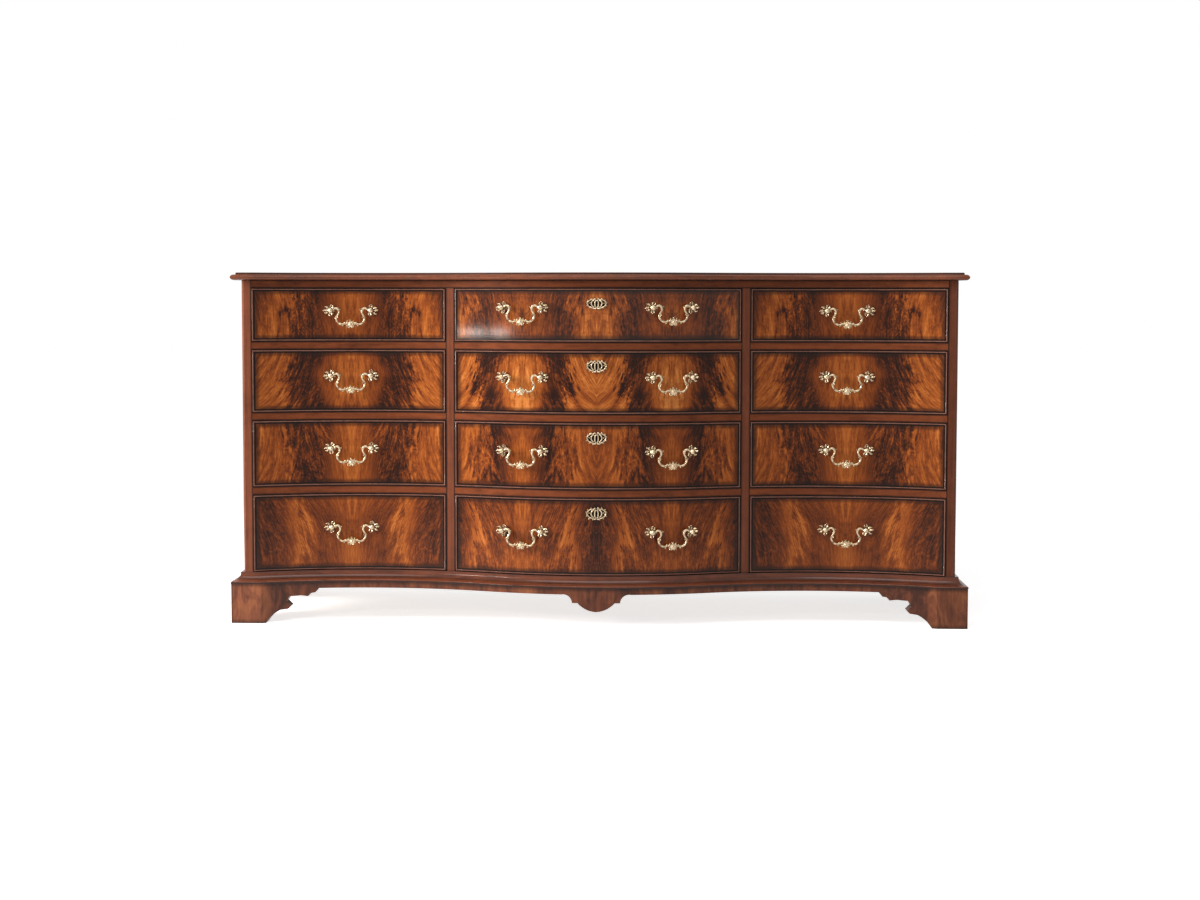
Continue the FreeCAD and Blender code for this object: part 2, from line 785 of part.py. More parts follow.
def make_front(row, column):
    """Shaped drawer front with a cockbead standing proud all round it, and dovetail sockets."""
    (left, left_inner), (right_inner, right) = side_spans(column)
    gap = dovetail_clearance
    sockets = dovetails(row, (left, left_inner), (columns[column][0], left_inner + gap), gap)
    sockets += dovetails(row, (right_inner, right), (right_inner - gap, columns[column][1]), gap)
    z0, z1 = rows[row]
    x0, x1 = columns[column]
    x0, x1, z0, z1 = x0 + front_gap, x1 - front_gap, z0 + front_gap, z1 - front_gap
    board = slab(x0, x1, bead_proud, z0, z1, back_offset=-front_thickness)
    inner0, inner1 = x0 + bead_width, x1 - bead_width
    field = slab(inner0, inner1, 2 * bead_proud, z0 + bead_width, z1 - bead_width, back_offset=0.0)
    cutters = [field] + sockets
    for x, z in handle_places(row, column):
        cutters += [shank_hole(HandleFrame(x, z), side) for side in (-1, 1)]
    if column == "middle":
        z = rows[row][1] - lock_drop
        cutters += [lock_block(row, lock_clearance, front_thickness), keyhole(z, overall_depth / 4)]
    return board.cut(cutters).Solids


def make_box(row, column):
    """Drawer sides with their dovetails, back and bottom."""
    z0, z1 = drawer_box_levels(row)
    sides = []
    for a, b in side_spans(column):
        side = slab(a, b, -front_thickness, z0, z1, back=box_back_y)
        sides.append(side.fuse(dovetails(row, (a, b), (a, b))).removeSplitter())
    groove = bottom_panel(row, column, groove_clearance)
    (_, left), (right, _) = side_spans(column)
    floor = z0 + bottom_panel_rise + bottom_panel_thickness
    back = box(left, right, box_back_y - box_back_thickness, box_back_y, floor, z1 - box_back_drop)
    return [side.cut(groove).Solids[0] for side in sides] + [back, bottom_panel(row, column)]


def main():
    os.makedirs("parts", exist_ok=True)
    save("top_board", make_top())
    save("side_panels", make_side_panels())
    save("partitions", make_partitions())
    save("back_panel", make_back())
    save("front_rails", make_front_rails())
    save("web_frames", make_web_frames())
    save("base_moulding", make_base_moulding())
    save("bracket_base", make_bracket_base())
    for row in rows:
        for column in columns:
            save(f"drawer_front_{row}_{column}", make_front(row, column))
            save(f"drawer_box_{row}_{column}", make_box(row, column))
            save(f"drawer_fittings_{row}_{column}", make_fittings(row, column))
            places = handle_places(row, column)
            ends = [""] if len(places) == 1 else ["_left", "_right"]
            for (x, z), end in zip(places, ends):
                save(f"bail_{row}_{column}{end}", make_bail(HandleFrame(x, z)))


main()
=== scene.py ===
# %% [markdown]
# # A serpentine mahogany dresser
# Twelve drawers in four rows stand on a moulded bracket base. The case and its drawer boxes come from
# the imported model. The curved fronts, their beads, the top, the mouldings and the brasses are made here
# finely enough to be looked at closely, and each rides on the piece it belongs to. All measures are in
# metres: X runs along the dresser, Y from its front to its back, and Z up from the floor.

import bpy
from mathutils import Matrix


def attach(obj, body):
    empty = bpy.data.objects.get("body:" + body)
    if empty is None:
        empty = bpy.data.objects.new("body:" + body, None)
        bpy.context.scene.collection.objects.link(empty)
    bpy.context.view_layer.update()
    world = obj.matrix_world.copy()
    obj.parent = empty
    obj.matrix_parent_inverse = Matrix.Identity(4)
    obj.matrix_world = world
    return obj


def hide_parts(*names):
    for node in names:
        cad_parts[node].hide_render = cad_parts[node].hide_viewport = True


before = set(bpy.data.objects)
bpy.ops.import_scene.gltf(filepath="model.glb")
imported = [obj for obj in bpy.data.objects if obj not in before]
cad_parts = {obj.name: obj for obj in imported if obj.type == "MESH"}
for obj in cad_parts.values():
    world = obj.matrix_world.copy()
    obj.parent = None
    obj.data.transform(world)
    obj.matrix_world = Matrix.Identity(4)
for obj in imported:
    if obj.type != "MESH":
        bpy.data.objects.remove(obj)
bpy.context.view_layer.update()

# %% [markdown]
# The front is drawn with three arcs: a bow in the middle and a hollow on each side. They meet where
# their tangents agree, so one long template could mark every rail and every drawer front. Here the
# template is a function: it gives the front's Y at any X, also for a curve that stands off the wood.

# %% The curve of the front
import math
import bpy
from mathutils import Matrix, Vector

half_case = 0.926
back_y = 0.278
stile_y = -0.217
opening_end = 0.900
hollow_x = 0.571
hollow_depth = 0.060
bow_rise = 0.031
hollow_y = stile_y + hollow_depth
hollow_radius = ((opening_end - hollow_x) ** 2 + hollow_depth**2) / (2 * hollow_depth)
bow_angle = 2 * math.atan((hollow_depth + bow_rise) / hollow_x)
bow_radius = hollow_x / math.sin(bow_angle) - hollow_radius
hollow_centre_y = hollow_y - hollow_radius
bow_centre_y = stile_y - bow_rise + bow_radius


def front_y(x, proud=0.0):
    """Y of the front at x, or of a curve that stands proud of it."""
    if abs(x) <= (bow_radius + proud) * math.sin(bow_angle):
        return bow_centre_y - math.sqrt((bow_radius + proud) ** 2 - x**2)
    return hollow_centre_y + math.sqrt((hollow_radius - proud) ** 2 - (abs(x) - hollow_x) ** 2)


def between(a, b, share):
    return a + (b - a) * share


def steps(a, b, count):
    """Evenly spaced values from a to b."""
    return [between(a, b, i / count) for i in range(count + 1)]


print("radius of the hollows and the bow, m:", round(hollow_radius, 3), round(bow_radius, 3))

# %% [markdown]
# The rows grow taller towards the floor, as they do on most chests, so the eye reads the base as the
# heavy part. The middle column is the wide one. Every later step asks these two tables where a drawer is.

# %% Rows and columns
case_bottom, openings_bottom = 0.104, 0.132
openings_top, case_top, overall_height = 0.875, 0.895, 0.915
rows = {
    "bottom": (openings_bottom, 0.334),
    "lower": (0.3555, 0.529),
    "upper": (0.5505, 0.7145),
    "top": (0.736, openings_top),
}
columns = {"left": (-opening_end, -0.398), "middle": (-0.374, 0.374), "right": (0.398, opening_end)}
print("drawers:", len(rows) * len(columns))

# %% [markdown]
# Wood is drawn from the place of each point in the piece, in metres, so the grain runs through the board
# and doesn't stretch. A finish is then arithmetic on that place: noises for the figure, a ramp that turns
# a tone into a colour, and a slight bump for the pores. These helpers keep that arithmetic readable.

# %% Helpers for the finishes


def new_finish(name):
    """An empty material, its node tree and its shader."""
    material = bpy.data.materials.new(name)
    material.use_nodes = True
    tree = material.node_tree
    return material, tree, tree.nodes["Principled BSDF"]


def feed(tree, socket, value):
    """Gives a socket a number, a colour or the output of another node."""
    if isinstance(value, bpy.types.NodeSocket):
        tree.links.new(value, socket)
    else:
        socket.default_value = value


def sums(tree, operation, a, b=0.0, c=0.0):
    """One step of arithmetic."""
    node = tree.nodes.new("ShaderNodeMath")
    node.operation = operation
    for socket, value in zip(node.inputs, (a, b, c)):
        feed(tree, socket, value)
    return node.outputs[0]


def gap(tree, value, mark):
    """Distance between a value and a mark, whichever is larger."""
    return sums(tree, "ABSOLUTE", sums(tree, "SUBTRACT", value, mark))


def least(tree, *values):
    """The smallest of several values."""
    smallest = values[0]
    for value in values[1:]:
        smallest = sums(tree, "MINIMUM", smallest, value)
    return smallest


def place_in_piece(tree):
    """X, Y and Z of the point, in metres, within the piece."""
    coordinates = tree.nodes.new("ShaderNodeTexCoord")
    split = tree.nodes.new("ShaderNodeSeparateXYZ")
    tree.links.new(coordinates.outputs["Object"], split.inputs[0])
    return split.outputs


def vector(tree, x, y, z):
    node = tree.nodes.new("ShaderNodeCombineXYZ")
    for socket, value in zip(node.inputs, (x, y, z)):
        feed(tree, socket, value)
    return node.outputs[0]


def stretched(tree, spot, scales):
    """The place with each axis multiplied, which sets how long or how fine a figure is."""
    return vector(tree, *[sums(tree, "MULTIPLY", value, scale) for value, scale in zip(spot, scales)])


def noise(tree, spot, detail=2.0, roughness=0.5, distortion=0.0):
    node = tree.nodes.new("ShaderNodeTexNoise")
    tree.links.new(spot, node.inputs["Vector"])
    node.inputs["Scale"].default_value = 1.0
    node.inputs["Detail"].default_value = detail
    node.inputs["Roughness"].default_value = roughness
    node.inputs["Distortion"].default_value = distortion
    return node.outputs["Fac"]


def ramp(tree, share, stops, smooth=False):
    """Looks a value up between stops of (place, number or colour)."""
    node = tree.nodes.new("ShaderNodeValToRGB")
    elements = node.color_ramp.elements
    node.color_ramp.interpolation = "EASE" if smooth else "LINEAR"
    while len(elements) < len(stops):
        elements.new(0.5)
    for element, (at, value) in zip(elements, stops):
        element.position = at
        element.color = (value, value, value, 1) if isinstance(value, float) else (*value, 1)
    feed(tree, node.inputs[0], share)
    return node.outputs[0]


def blend_colours(tree, share, a, b, how="MIX"):
    node = tree.nodes.new("ShaderNodeMix")
    node.data_type = "RGBA"
    node.blend_type = how
    feed(tree, node.inputs[0], share)
    feed(tree, node.inputs[6], (*a, 1) if isinstance(a, tuple) else a)
    feed(tree, node.inputs[7], (*b, 1) if isinstance(b, tuple) else b)
    return node.outputs[2]


def bumps(tree, shader, height, strength=1.0):
    """Tilts the light by a height in metres."""
    node = tree.nodes.new("ShaderNodeBump")
    node.inputs["Strength"].default_value = strength
    node.inputs["Distance"].default_value = 1.0
    feed(tree, node.inputs["Height"], height)
    tree.links.new(node.outputs[0], shader.inputs["Normal"])


print("materials that came with the packed model:", len(bpy.data.materials))

# %% [markdown]
# Shade is painted along the edges of the case's boards: dark lines stand for the shadow in the gaps round
# the drawers and under and over the top's moulding, and the case's corners are darkened too. Measured from
# the rows and columns, the lines stay right on every board: where rails and uprights meet the drawers, on
# the case's corners, and under and over the top's moulding.

# %% Where the painted edge shade lies
edge_shade_width = 0.0045
shadow_lines = (case_top, overall_height - 0.0025)


def from_arris(tree, x, y, corner_x, corner_y):
    """Distance from an upright corner of the case, along either of its faces."""
    inward = sums(tree, "SUBTRACT", corner_x, sums(tree, "ABSOLUTE", x))
    return sums(tree, "MAXIMUM", inward, sums(tree, "SUBTRACT", y, corner_y))


def from_edges(tree, x, y, z, along):
    """Distance to the nearest edge with painted shade, on a board that runs along X or on an upright one."""
    if along == "X":
        marks = [level for levels in rows.values() for level in levels]
        moulded = [sums(tree, "MULTIPLY", gap(tree, z, line), 2.0) for line in shadow_lines]
        return least(tree, *[gap(tree, z, mark) for mark in marks], *moulded)
    marks = sorted({abs(end) for ends in columns.values() for end in ends})
    side = sums(tree, "ABSOLUTE", x)
    arris = sums(tree, "MULTIPLY", from_arris(tree, x, y, half_case, stile_y), 1.5)
    return least(tree, *[gap(tree, side, mark) for mark in marks], arris)


print("shadow lines at, m:", [round(line, 4) for line in shadow_lines])

# %% [markdown]
# Straight-grained mahogany makes the case. Long pores run with the board, and wide soft bands come from
# the ribbon in quarter-sawn stock. Noise that is stretched along the board gives both: once coarse for
# the bands, once fine for the pores. The wood is stained red-brown and thinly varnished, and the boards
# that are handled or dusted most, the top and the moulding, shine a little more than the rest.

# %% Straight-grained mahogany


def straight_mahogany(name, along, dark, light, gloss=0.12, roughness=0.30, edges=True, levels=None):
    """Mahogany whose grain runs along an axis, with painted shade along its edges if asked. Levels paint bands
    of shade on it between two heights.
    """
    material, tree, shader = new_finish(name)
    x, y, z = place_in_piece(tree)
    grain = [3.0 if axis == along else 90.0 for axis in "XYZ"]
    bands = noise(tree, stretched(tree, (x, y, z), grain), 3.0, 0.55, 0.3)
    pores = noise(tree, stretched(tree, (x, y, z), [scale * 6.0 for scale in grain]), 2.0, 0.6)
    patches = noise(tree, stretched(tree, (x, y, z), (26.0, 26.0, 26.0)), 3.0, 0.6, 0.8)
    mottle = sums(tree, "SUBTRACT", patches, 0.5)
    tone = sums(tree, "MULTIPLY_ADD", pores, 0.35, sums(tree, "MULTIPLY", bands, 0.75))
    tone = sums(tree, "MULTIPLY_ADD", mottle, 0.40, tone)
    middle = tuple(between(a, b, 0.55) for a, b in zip(dark, light))
    colour = ramp(tree, tone, [(0.25, dark), (0.52, middle), (0.80, light)])
    # Painted shade: near black along the edges, for the shadow in the gaps round the drawers and under the
    # top.
    if edges:
        near = sums(tree, "DIVIDE", from_edges(tree, x, y, z, along), edge_shade_width)
        shade = ramp(tree, near, [(0.0, 0.95), (0.40, 0.80), (1.0, 0.0)])
        colour = blend_colours(tree, shade, colour, (0.008, 0.004, 0.003))
    # Painted shade: the colour is darkened in bands between two heights.
    if levels:
        low, high, stops = levels
        rise = sums(tree, "DIVIDE", sums(tree, "SUBTRACT", z, low), high - low)
        colour = blend_colours(tree, 1.0, colour, ramp(tree, rise, stops), "MULTIPLY")
    tree.links.new(colour, shader.inputs["Base Color"])
    shader.inputs["Roughness"].default_value = roughness
    shader.inputs["Specular IOR Level"].default_value = gloss
    bumps(tree, shader, sums(tree, "MULTIPLY", pores, 0.00006), 0.5)
    return material


red_dark, red_light = (0.060, 0.0150, 0.0050), (0.210, 0.0520, 0.0170)
lengthwise_mahogany = straight_mahogany("mahogany_lengthwise", "X", red_dark, red_light)
top_mahogany = straight_mahogany("mahogany_top", "X", red_dark, red_light, gloss=0.26, roughness=0.22)
upright_mahogany = straight_mahogany("mahogany_upright", "Z", (0.072, 0.020, 0.009), (0.190, 0.055, 0.025))
# Painted shade on the base moulding: darkest at its foot, in a band just above the bead, and at its top edge.
moulding_shade_bands = [
    (0.02, 0.12), (0.10, 0.30), (0.15, 1.0), (0.24, 1.0),
    (0.34, 0.45), (0.60, 0.70), (0.80, 1.0), (0.98, 0.55),
]
moulding_mahogany = straight_mahogany(
    "mahogany_moulding", "X", (0.052, 0.014, 0.007), (0.190, 0.050, 0.020),
    gloss=0.27, roughness=0.19, edges=False, levels=(case_bottom, openings_bottom, moulding_shade_bands),
)
front_mahogany = straight_mahogany(
    "mahogany_groundwork", "X", (0.090, 0.030, 0.014), (0.210, 0.075, 0.036), edges=False
)
print("straight finishes:", [m.name for m in bpy.data.materials if m.name.startswith("mahogany_")])

# %% [markdown]
# The beads round the drawers are painted nearly black on their low sides, as the shade in their quirks,
# and cloths and hands have rubbed their noses paler. How far each corner of a bead stands out is written
# into its mesh as a value, and the finish reads it. So the painted shade and the pale line follow the
# bead's own shape wherever the bead goes.

# %% Beads, with painted shade in their quirks and rubbed noses


def bead_finish():
    """Bead painted near black on its low sides, as shade in its quirks, with its nose rubbed paler."""
    material, tree, shader = new_finish("mahogany_bead")
    relief = tree.nodes.new("ShaderNodeAttribute")
    relief.attribute_name = "relief"
    patches = noise(tree, stretched(tree, place_in_piece(tree), (40.0, 0.0, 40.0)), 3.0, 0.6)
    tone = sums(tree, "MULTIPLY_ADD", sums(tree, "SUBTRACT", patches, 0.5), 0.7, relief.outputs["Fac"])
    # Painted shade: the low sides of the bead go near black, for the shadow in its quirks; the nose is paler
    # with rubbing.
    stops = [(0.40, (0.010, 0.005, 0.004)), (0.70, (0.078, 0.030, 0.020)), (1.0, (0.180, 0.074, 0.048))]
    tree.links.new(ramp(tree, tone, stops), shader.inputs["Base Color"])
    shader.inputs["Roughness"].default_value = 0.20
    shader.inputs["Specular IOR Level"].default_value = 0.22
    return material


bead_mahogany = bead_finish()
print("bead finish:", bead_mahogany.name)

# %% [markdown]
# The bracket feet and the apron are faced with upright veneer. It is paler towards the outer corners,
# where feet are knocked and polished. Shade is painted on it near the floor and under the moulding, and it is
# darker on the very corner.
# One finish covers the whole base, since each of these shades depends only on where the point is.

# %% Veneer on the feet
base_out, base_flat = 0.030, 0.080
foot_corner_x = half_case + base_out
foot_corner_y = front_y(foot_corner_x - base_flat, base_out)


def foot_veneer():
    """Upright veneer on the bracket feet and the apron, paler at the outer corners."""
    material, tree, shader = new_finish("foot_veneer")
    x, y, z = place_in_piece(tree)
    pale_stops = [(0.70, 0.12), (0.80, 0.06), (0.84, 0.0), (0.87, 0.24), (1.0, 0.24)]
    pale = ramp(tree, sums(tree, "ABSOLUTE", x), pale_stops, True)
    wide = noise(tree, stretched(tree, (x, y, z), (30.0, 1.0, 14.0)), 3.0, 0.55, 1.2)
    thin = noise(tree, stretched(tree, (x, y, z), (190.0, 1.0, 14.0)), 3.0, 0.6, 0.4)
    tone = sums(tree, "MULTIPLY_ADD", thin, 0.35, sums(tree, "SUBTRACT", pale, 0.295))
    tone = sums(tree, "MULTIPLY_ADD", wide, 0.90, tone)
    colour = ramp(tree, tone, [
        (0.25, (0.045, 0.014, 0.008)), (0.50, (0.135, 0.040, 0.018)), (0.85, (0.300, 0.100, 0.038)),
    ])
    # Painted shade: darker near the floor and under the moulding.
    floor_and_moulding_shade = [(0.0, 0.30), (0.05, 0.55), (0.12, 1.0), (0.90, 1.0), (0.97, 0.40)]
    shade = ramp(tree, sums(tree, "DIVIDE", z, case_bottom), floor_and_moulding_shade)
    colour = blend_colours(tree, 1.0, colour, shade, "MULTIPLY")
    arris = from_arris(tree, x, y, foot_corner_x, foot_corner_y)
    corner_shade = ramp(tree, sums(tree, "DIVIDE", arris, 0.007), [(0.0, 0.30), (0.4, 0.55), (1.0, 1.0)])
    colour = blend_colours(tree, 1.0, colour, corner_shade, "MULTIPLY")
    tree.links.new(colour, shader.inputs["Base Color"])
    shader.inputs["Roughness"].default_value = 0.30
    shader.inputs["Specular IOR Level"].default_value = 0.17
    return material


foot_mahogany = foot_veneer()
print("corner of a foot, m:", round(foot_corner_x, 3), round(foot_corner_y, 3))

# %% [markdown]
# The drawer fronts are faced with flame veneer, cut from the crotch of the tree where a limb leaves the
# trunk. Two leaves of one flitch are opened like a book about the axis of each handle, so bright lobes
# and dark flames face each other. Measuring every point from the fold gives the two leaves their mirrored
# figure. The tables say how bright a leaf is from its fold outwards, and how far its streaks lean. Spread
# and closing bend the figure with height, and contrast says how deep its flames are.

# %% Tables for the flame veneer
flame_colours = [
    (0.00, (0.012, 0.005, 0.004)),
    (0.24, (0.034, 0.010, 0.005)),
    (0.44, (0.115, 0.026, 0.007)),
    (0.62, (0.230, 0.053, 0.010)),
    (0.80, (0.380, 0.102, 0.018)),
    (1.00, (0.580, 0.200, 0.048)),
]
outer_tones = {
    "top": [(0.0, 0.62), (0.22, 0.56), (0.34, 0.33), (0.56, 0.30), (0.68, 0.60), (1.0, 0.66)],
    "upper": [(0.0, 0.68), (0.26, 0.60), (0.36, 0.30), (0.60, 0.34), (0.74, 0.63), (1.0, 0.68)],
    "lower": [(0.0, 0.74), (0.18, 0.60), (0.32, 0.32), (0.54, 0.38), (0.70, 0.62), (1.0, 0.64)],
    "bottom": [(0.0, 0.66), (0.18, 0.54), (0.46, 0.54), (0.58, 0.72), (0.66, 0.40), (1.0, 0.38)],
}
middle_tones = {
    "top": [(0.0, 0.56), (0.26, 0.54), (0.46, 0.36), (0.64, 0.44), (0.78, 0.62), (1.0, 0.64)],
    "upper": [(0.0, 0.70), (0.30, 0.66), (0.38, 0.34), (0.58, 0.36), (0.68, 0.66), (1.0, 0.68)],
    "lower": [(0.0, 0.67), (0.16, 0.53), (0.34, 0.30), (0.54, 0.52), (0.72, 0.67), (1.0, 0.53)],
    "bottom": [(0.0, 0.60), (0.26, 0.49), (0.54, 0.49), (0.66, 0.68), (0.76, 0.36), (1.0, 0.26)],
}
streak_slopes = {
    "top": [(0.0, 0.50), (0.30, 0.44), (0.60, 0.44), (1.0, 0.46)],
    "upper": [(0.0, 0.50), (0.30, 0.56), (0.60, 0.60), (1.0, 0.70)],
    "lower": [(0.0, 0.50), (0.30, 0.40), (0.60, 0.62), (1.0, 0.78)],
    "bottom": [(0.0, 0.50), (0.35, 0.50), (0.70, 0.68), (1.0, 0.82)],
}
spread = {"top": 0.0, "upper": -1.5, "lower": 1.5, "bottom": 4.2}
closing = {"top": 0.04, "upper": 0.13, "lower": 0.05, "bottom": -0.10}
contrast = {"top": 1.00, "upper": 1.14, "lower": 1.08, "bottom": 0.98}
outer_handle_x, middle_handle_x = 0.649, 0.193
print("tones along a leaf:", {row: len(stops) for row, stops in outer_tones.items()})

# %% [markdown]
# Crotch figure has several scales at once: broad waves, plumes, fingers that lick out of them, feathers
# across the grain where the wood is darkest, streaks along it, and pores. Each is one noise, stretched
# along a slanted axis that fans out from the fold. The broad ones also push the borders between bright
# and dark about, so no two lobes end in the same line.

# %% The figure of a leaf


def crotch_figure(tree, row, column, side, z):
    """Tone of the veneer from dark to bright, and the broad waves and the pores in it."""
    z0, z1 = rows[row]
    middle = column == "middle"
    fold = middle_handle_x if middle else outer_handle_x
    leaf_width = middle_handle_x if middle else (columns[column][1] - columns[column][0]) / 2
    seed = 3.7 * list(rows).index(row) + 11.3 * middle
    across = gap(tree, side, fold)
    share = sums(tree, "DIVIDE", across, leaf_width)
    rise = sums(tree, "SUBTRACT", z, (z0 + z1) / 2)
    lean = sums(tree, "SUBTRACT", ramp(tree, share, streak_slopes[row], True), 0.5)
    outward = sums(tree, "MULTIPLY", share, sums(tree, "MULTIPLY", rise, -1.6))
    lean = sums(tree, "MULTIPLY_ADD", lean, 2.0, outward)
    fan = sums(tree, "MULTIPLY", across, sums(tree, "MULTIPLY_ADD", rise, -spread[row], 1.0))
    slanted = sums(tree, "MULTIPLY_ADD", lean, rise, fan)

    def figure(over, up, layer, detail, roughness, distortion):
        along, height = sums(tree, "MULTIPLY", slanted, over), sums(tree, "MULTIPLY", z, up)
        spot = vector(tree, along, height, seed + layer)
        return sums(tree, "SUBTRACT", noise(tree, spot, detail, roughness, distortion), 0.5)

    broad = figure(13.0, 9.0, 0.0, 2.0, 0.5, 0.3)
    plumes = figure(42.0, 9.0, 5.2, 3.0, 0.55, 0.8)
    fingers = figure(110.0, 20.0, 1.3, 3.0, 0.6, 0.9)
    streaks = figure(300.0, 24.0, 2.9, 3.0, 0.6, 0.4)
    feathers = figure(75.0, 46.0, 4.1, 4.0, 0.62, 2.2)
    pores = figure(900.0, 110.0, 0.0, 1.0, 0.5, 0.0)

    squared = sums(tree, "MULTIPLY", rise, rise)
    out = sums(tree, "MULTIPLY_ADD", squared, closing[row] / ((z1 - z0) / 2) ** 2, share)
    for pattern, strength in ((broad, 0.40), (plumes, 0.34), (fingers, 0.30), (feathers, 0.26)):
        out = sums(tree, "MULTIPLY_ADD", pattern, strength, out)
    tone = ramp(tree, out, middle_tones[row] if middle else outer_tones[row])
    feathers = sums(tree, "MULTIPLY", feathers, ramp(tree, tone, [(0.30, 1.0), (0.58, 0.42)]))
    layers = [(streaks, 0.46), (feathers, 0.95), (fingers, 0.60), (plumes, 0.60), (broad, 0.35), (pores, 0.16)]
    for pattern, strength in layers:
        tone = sums(tree, "MULTIPLY_ADD", pattern, strength, tone)
    steep = contrast[row] + (0.12 if middle else 0.0)
    tone = sums(tree, "MULTIPLY_ADD", sums(tree, "SUBTRACT", tone, 0.49), steep, 0.49)
    return tone, broad, pores


print("heights that the figure fills, m:", {row: round(z1 - z0, 4) for row, (z0, z1) in rows.items()})

# %% [markdown]
# The maker rubs dark glaze round the border of each front, soft towards the middle of the leaf. Inside
# that, the crevice against the bead is painted nearly black, as shade. The distance to the bead's inner edge
# gives both, and the broad waves of the figure make the glaze wander a little, as a rag does.

# %% Glaze round the border, and painted shade in the crevice
front_gap, bead_width = 0.0015, 0.0035
veneer_inset = front_gap + bead_width
burnish_width, crevice_width = 0.016, 0.0044


def glazed(tree, colour, row, column, side, z, broad):
    """The colour with its dark glazed border, and painted shade in the crevice against the bead."""
    z0, z1 = rows[row]
    inner_end, outer_end = sorted(abs(end) for end in columns[column])
    edges = [
        sums(tree, "SUBTRACT", outer_end - veneer_inset, side),
        sums(tree, "SUBTRACT", z, z0 + veneer_inset),
        sums(tree, "SUBTRACT", z1 - veneer_inset, z),
    ]
    if column != "middle":
        edges.append(sums(tree, "SUBTRACT", side, inner_end + veneer_inset))
    edge = least(tree, *edges)
    wander = sums(tree, "DIVIDE", sums(tree, "MULTIPLY_ADD", broad, 0.010, edge), burnish_width)
    glaze = ramp(tree, wander, [(0.0, 0.88), (0.45, 0.62), (1.0, 0.0)], True)
    colour = blend_colours(tree, glaze, colour, (0.016, 0.008, 0.006))
    # Painted shade: nearly black in the crevice against the bead.
    crevice = ramp(tree, sums(tree, "DIVIDE", edge, crevice_width), [(0.0, 1.0), (0.55, 0.90), (1.0, 0.0)])
    return blend_colours(tree, crevice, colour, (0.006, 0.003, 0.002))


print("veneer shows from, m inside the opening:", veneer_inset)

# %% [markdown]
# Each row has one pair of leaves for its two outer fronts and another for its middle one, as a maker
# shares out the leaves of one flitch. So the outer columns mirror each other about the dresser's middle.
# The top middle drawer is polished over a faint hollow, which draws a small lamp's light into one streak.
# That hollow is far too shallow to change an outline, so it is given as a bump.

# %% Twelve veneered fronts


def flame_veneer(row, column, hollow=0.0):
    """The finish of one front. The hollow is the height of its middle in metres, below zero."""
    material, tree, shader = new_finish(f"flame_veneer_{row}_{column}")
    x, y, z = place_in_piece(tree)
    z0, z1 = rows[row]
    side = sums(tree, "ABSOLUTE", x)
    tone, broad, pores = crotch_figure(tree, row, column, side, z)
    colour = glazed(tree, ramp(tree, tone, flame_colours), row, column, side, z, broad)
    tree.links.new(colour, shader.inputs["Base Color"])
    shader.inputs["Roughness"].default_value = 0.19 if hollow else 0.18
    shader.inputs["Specular IOR Level"].default_value = 0.20 if hollow else 0.11
    height = sums(tree, "MULTIPLY", pores, 0.000015)
    if hollow:
        away = sums(tree, "DIVIDE", sums(tree, "SUBTRACT", z, (z0 + z1) / 2), (z1 - z0) / 2)
        swell = sums(tree, "SUBTRACT", 1.0, sums(tree, "MULTIPLY", away, away))
        height = sums(tree, "MULTIPLY_ADD", swell, hollow, height)
    bumps(tree, shader, height)
    return material


polished_hollows = {("top", "middle"): -0.0065}
veneers = {}
for row in rows:
    for column in ("left", "middle"):
        veneers[row, column] = flame_veneer(row, column, polished_hollows.get((row, column), 0.0))
    veneers[row, "right"] = veneers[row, "left"]
print("fronts with a finish:", len(veneers), "from", len(set(veneers.values())), "pairs of leaves")

# %% [markdown]
# The drawer boxes and the frames inside are raw poplar, pale and plain, and the back is a thin darker
# board. Inside wood is left unpolished on the real piece: it saves work and lets drawers run sweetly. The
# box's own back lies across the others, so beyond its face the grain turns with it.

# %% Inner woods


def raw_wood(name, dark, light, along, cross_y=None):
    """Unfinished wood. Beyond cross_y the boards lie across, so their grain does too."""
    material, tree, shader = new_finish(name)
    spot = place_in_piece(tree)

    def grain(way):
        scales = [4.0 if axis == way else 70.0 for axis in "XYZ"]
        return noise(tree, stretched(tree, spot, scales), 4.0, 0.6, 0.8)

    figure = grain(along)
    if cross_y is not None:
        crossed = sums(tree, "GREATER_THAN", spot["Y"], cross_y)
        figure = sums(tree, "MULTIPLY_ADD", crossed, sums(tree, "SUBTRACT", grain("X"), figure), figure)
    tree.links.new(ramp(tree, figure, [(0.30, dark), (0.70, light)]), shader.inputs["Base Color"])
    shader.inputs["Roughness"].default_value = 0.6
    shader.inputs["Specular IOR Level"].default_value = 0.2
    return material


box_back_y = 0.2378
box_wood = raw_wood("raw_poplar", (0.38, 0.225, 0.11), (0.58, 0.385, 0.205), "Y", box_back_y)
back_wood = raw_wood("raw_back", (0.17, 0.09, 0.045), (0.30, 0.17, 0.09), "Z")
print("inner woods:", box_wood.name, back_wood.name)

# %% [markdown]
# The brasses are cast, chased and left to age: raised parts are rubbed pale, and the hollows keep dark
# patina. As with the beads, each casting carries its own record of which parts stand out, and a fine
# noise breaks the border between bright metal and grime. Grime is duller and less of a metal, too.

# %% Aged brass, and the painted shade in its gaps


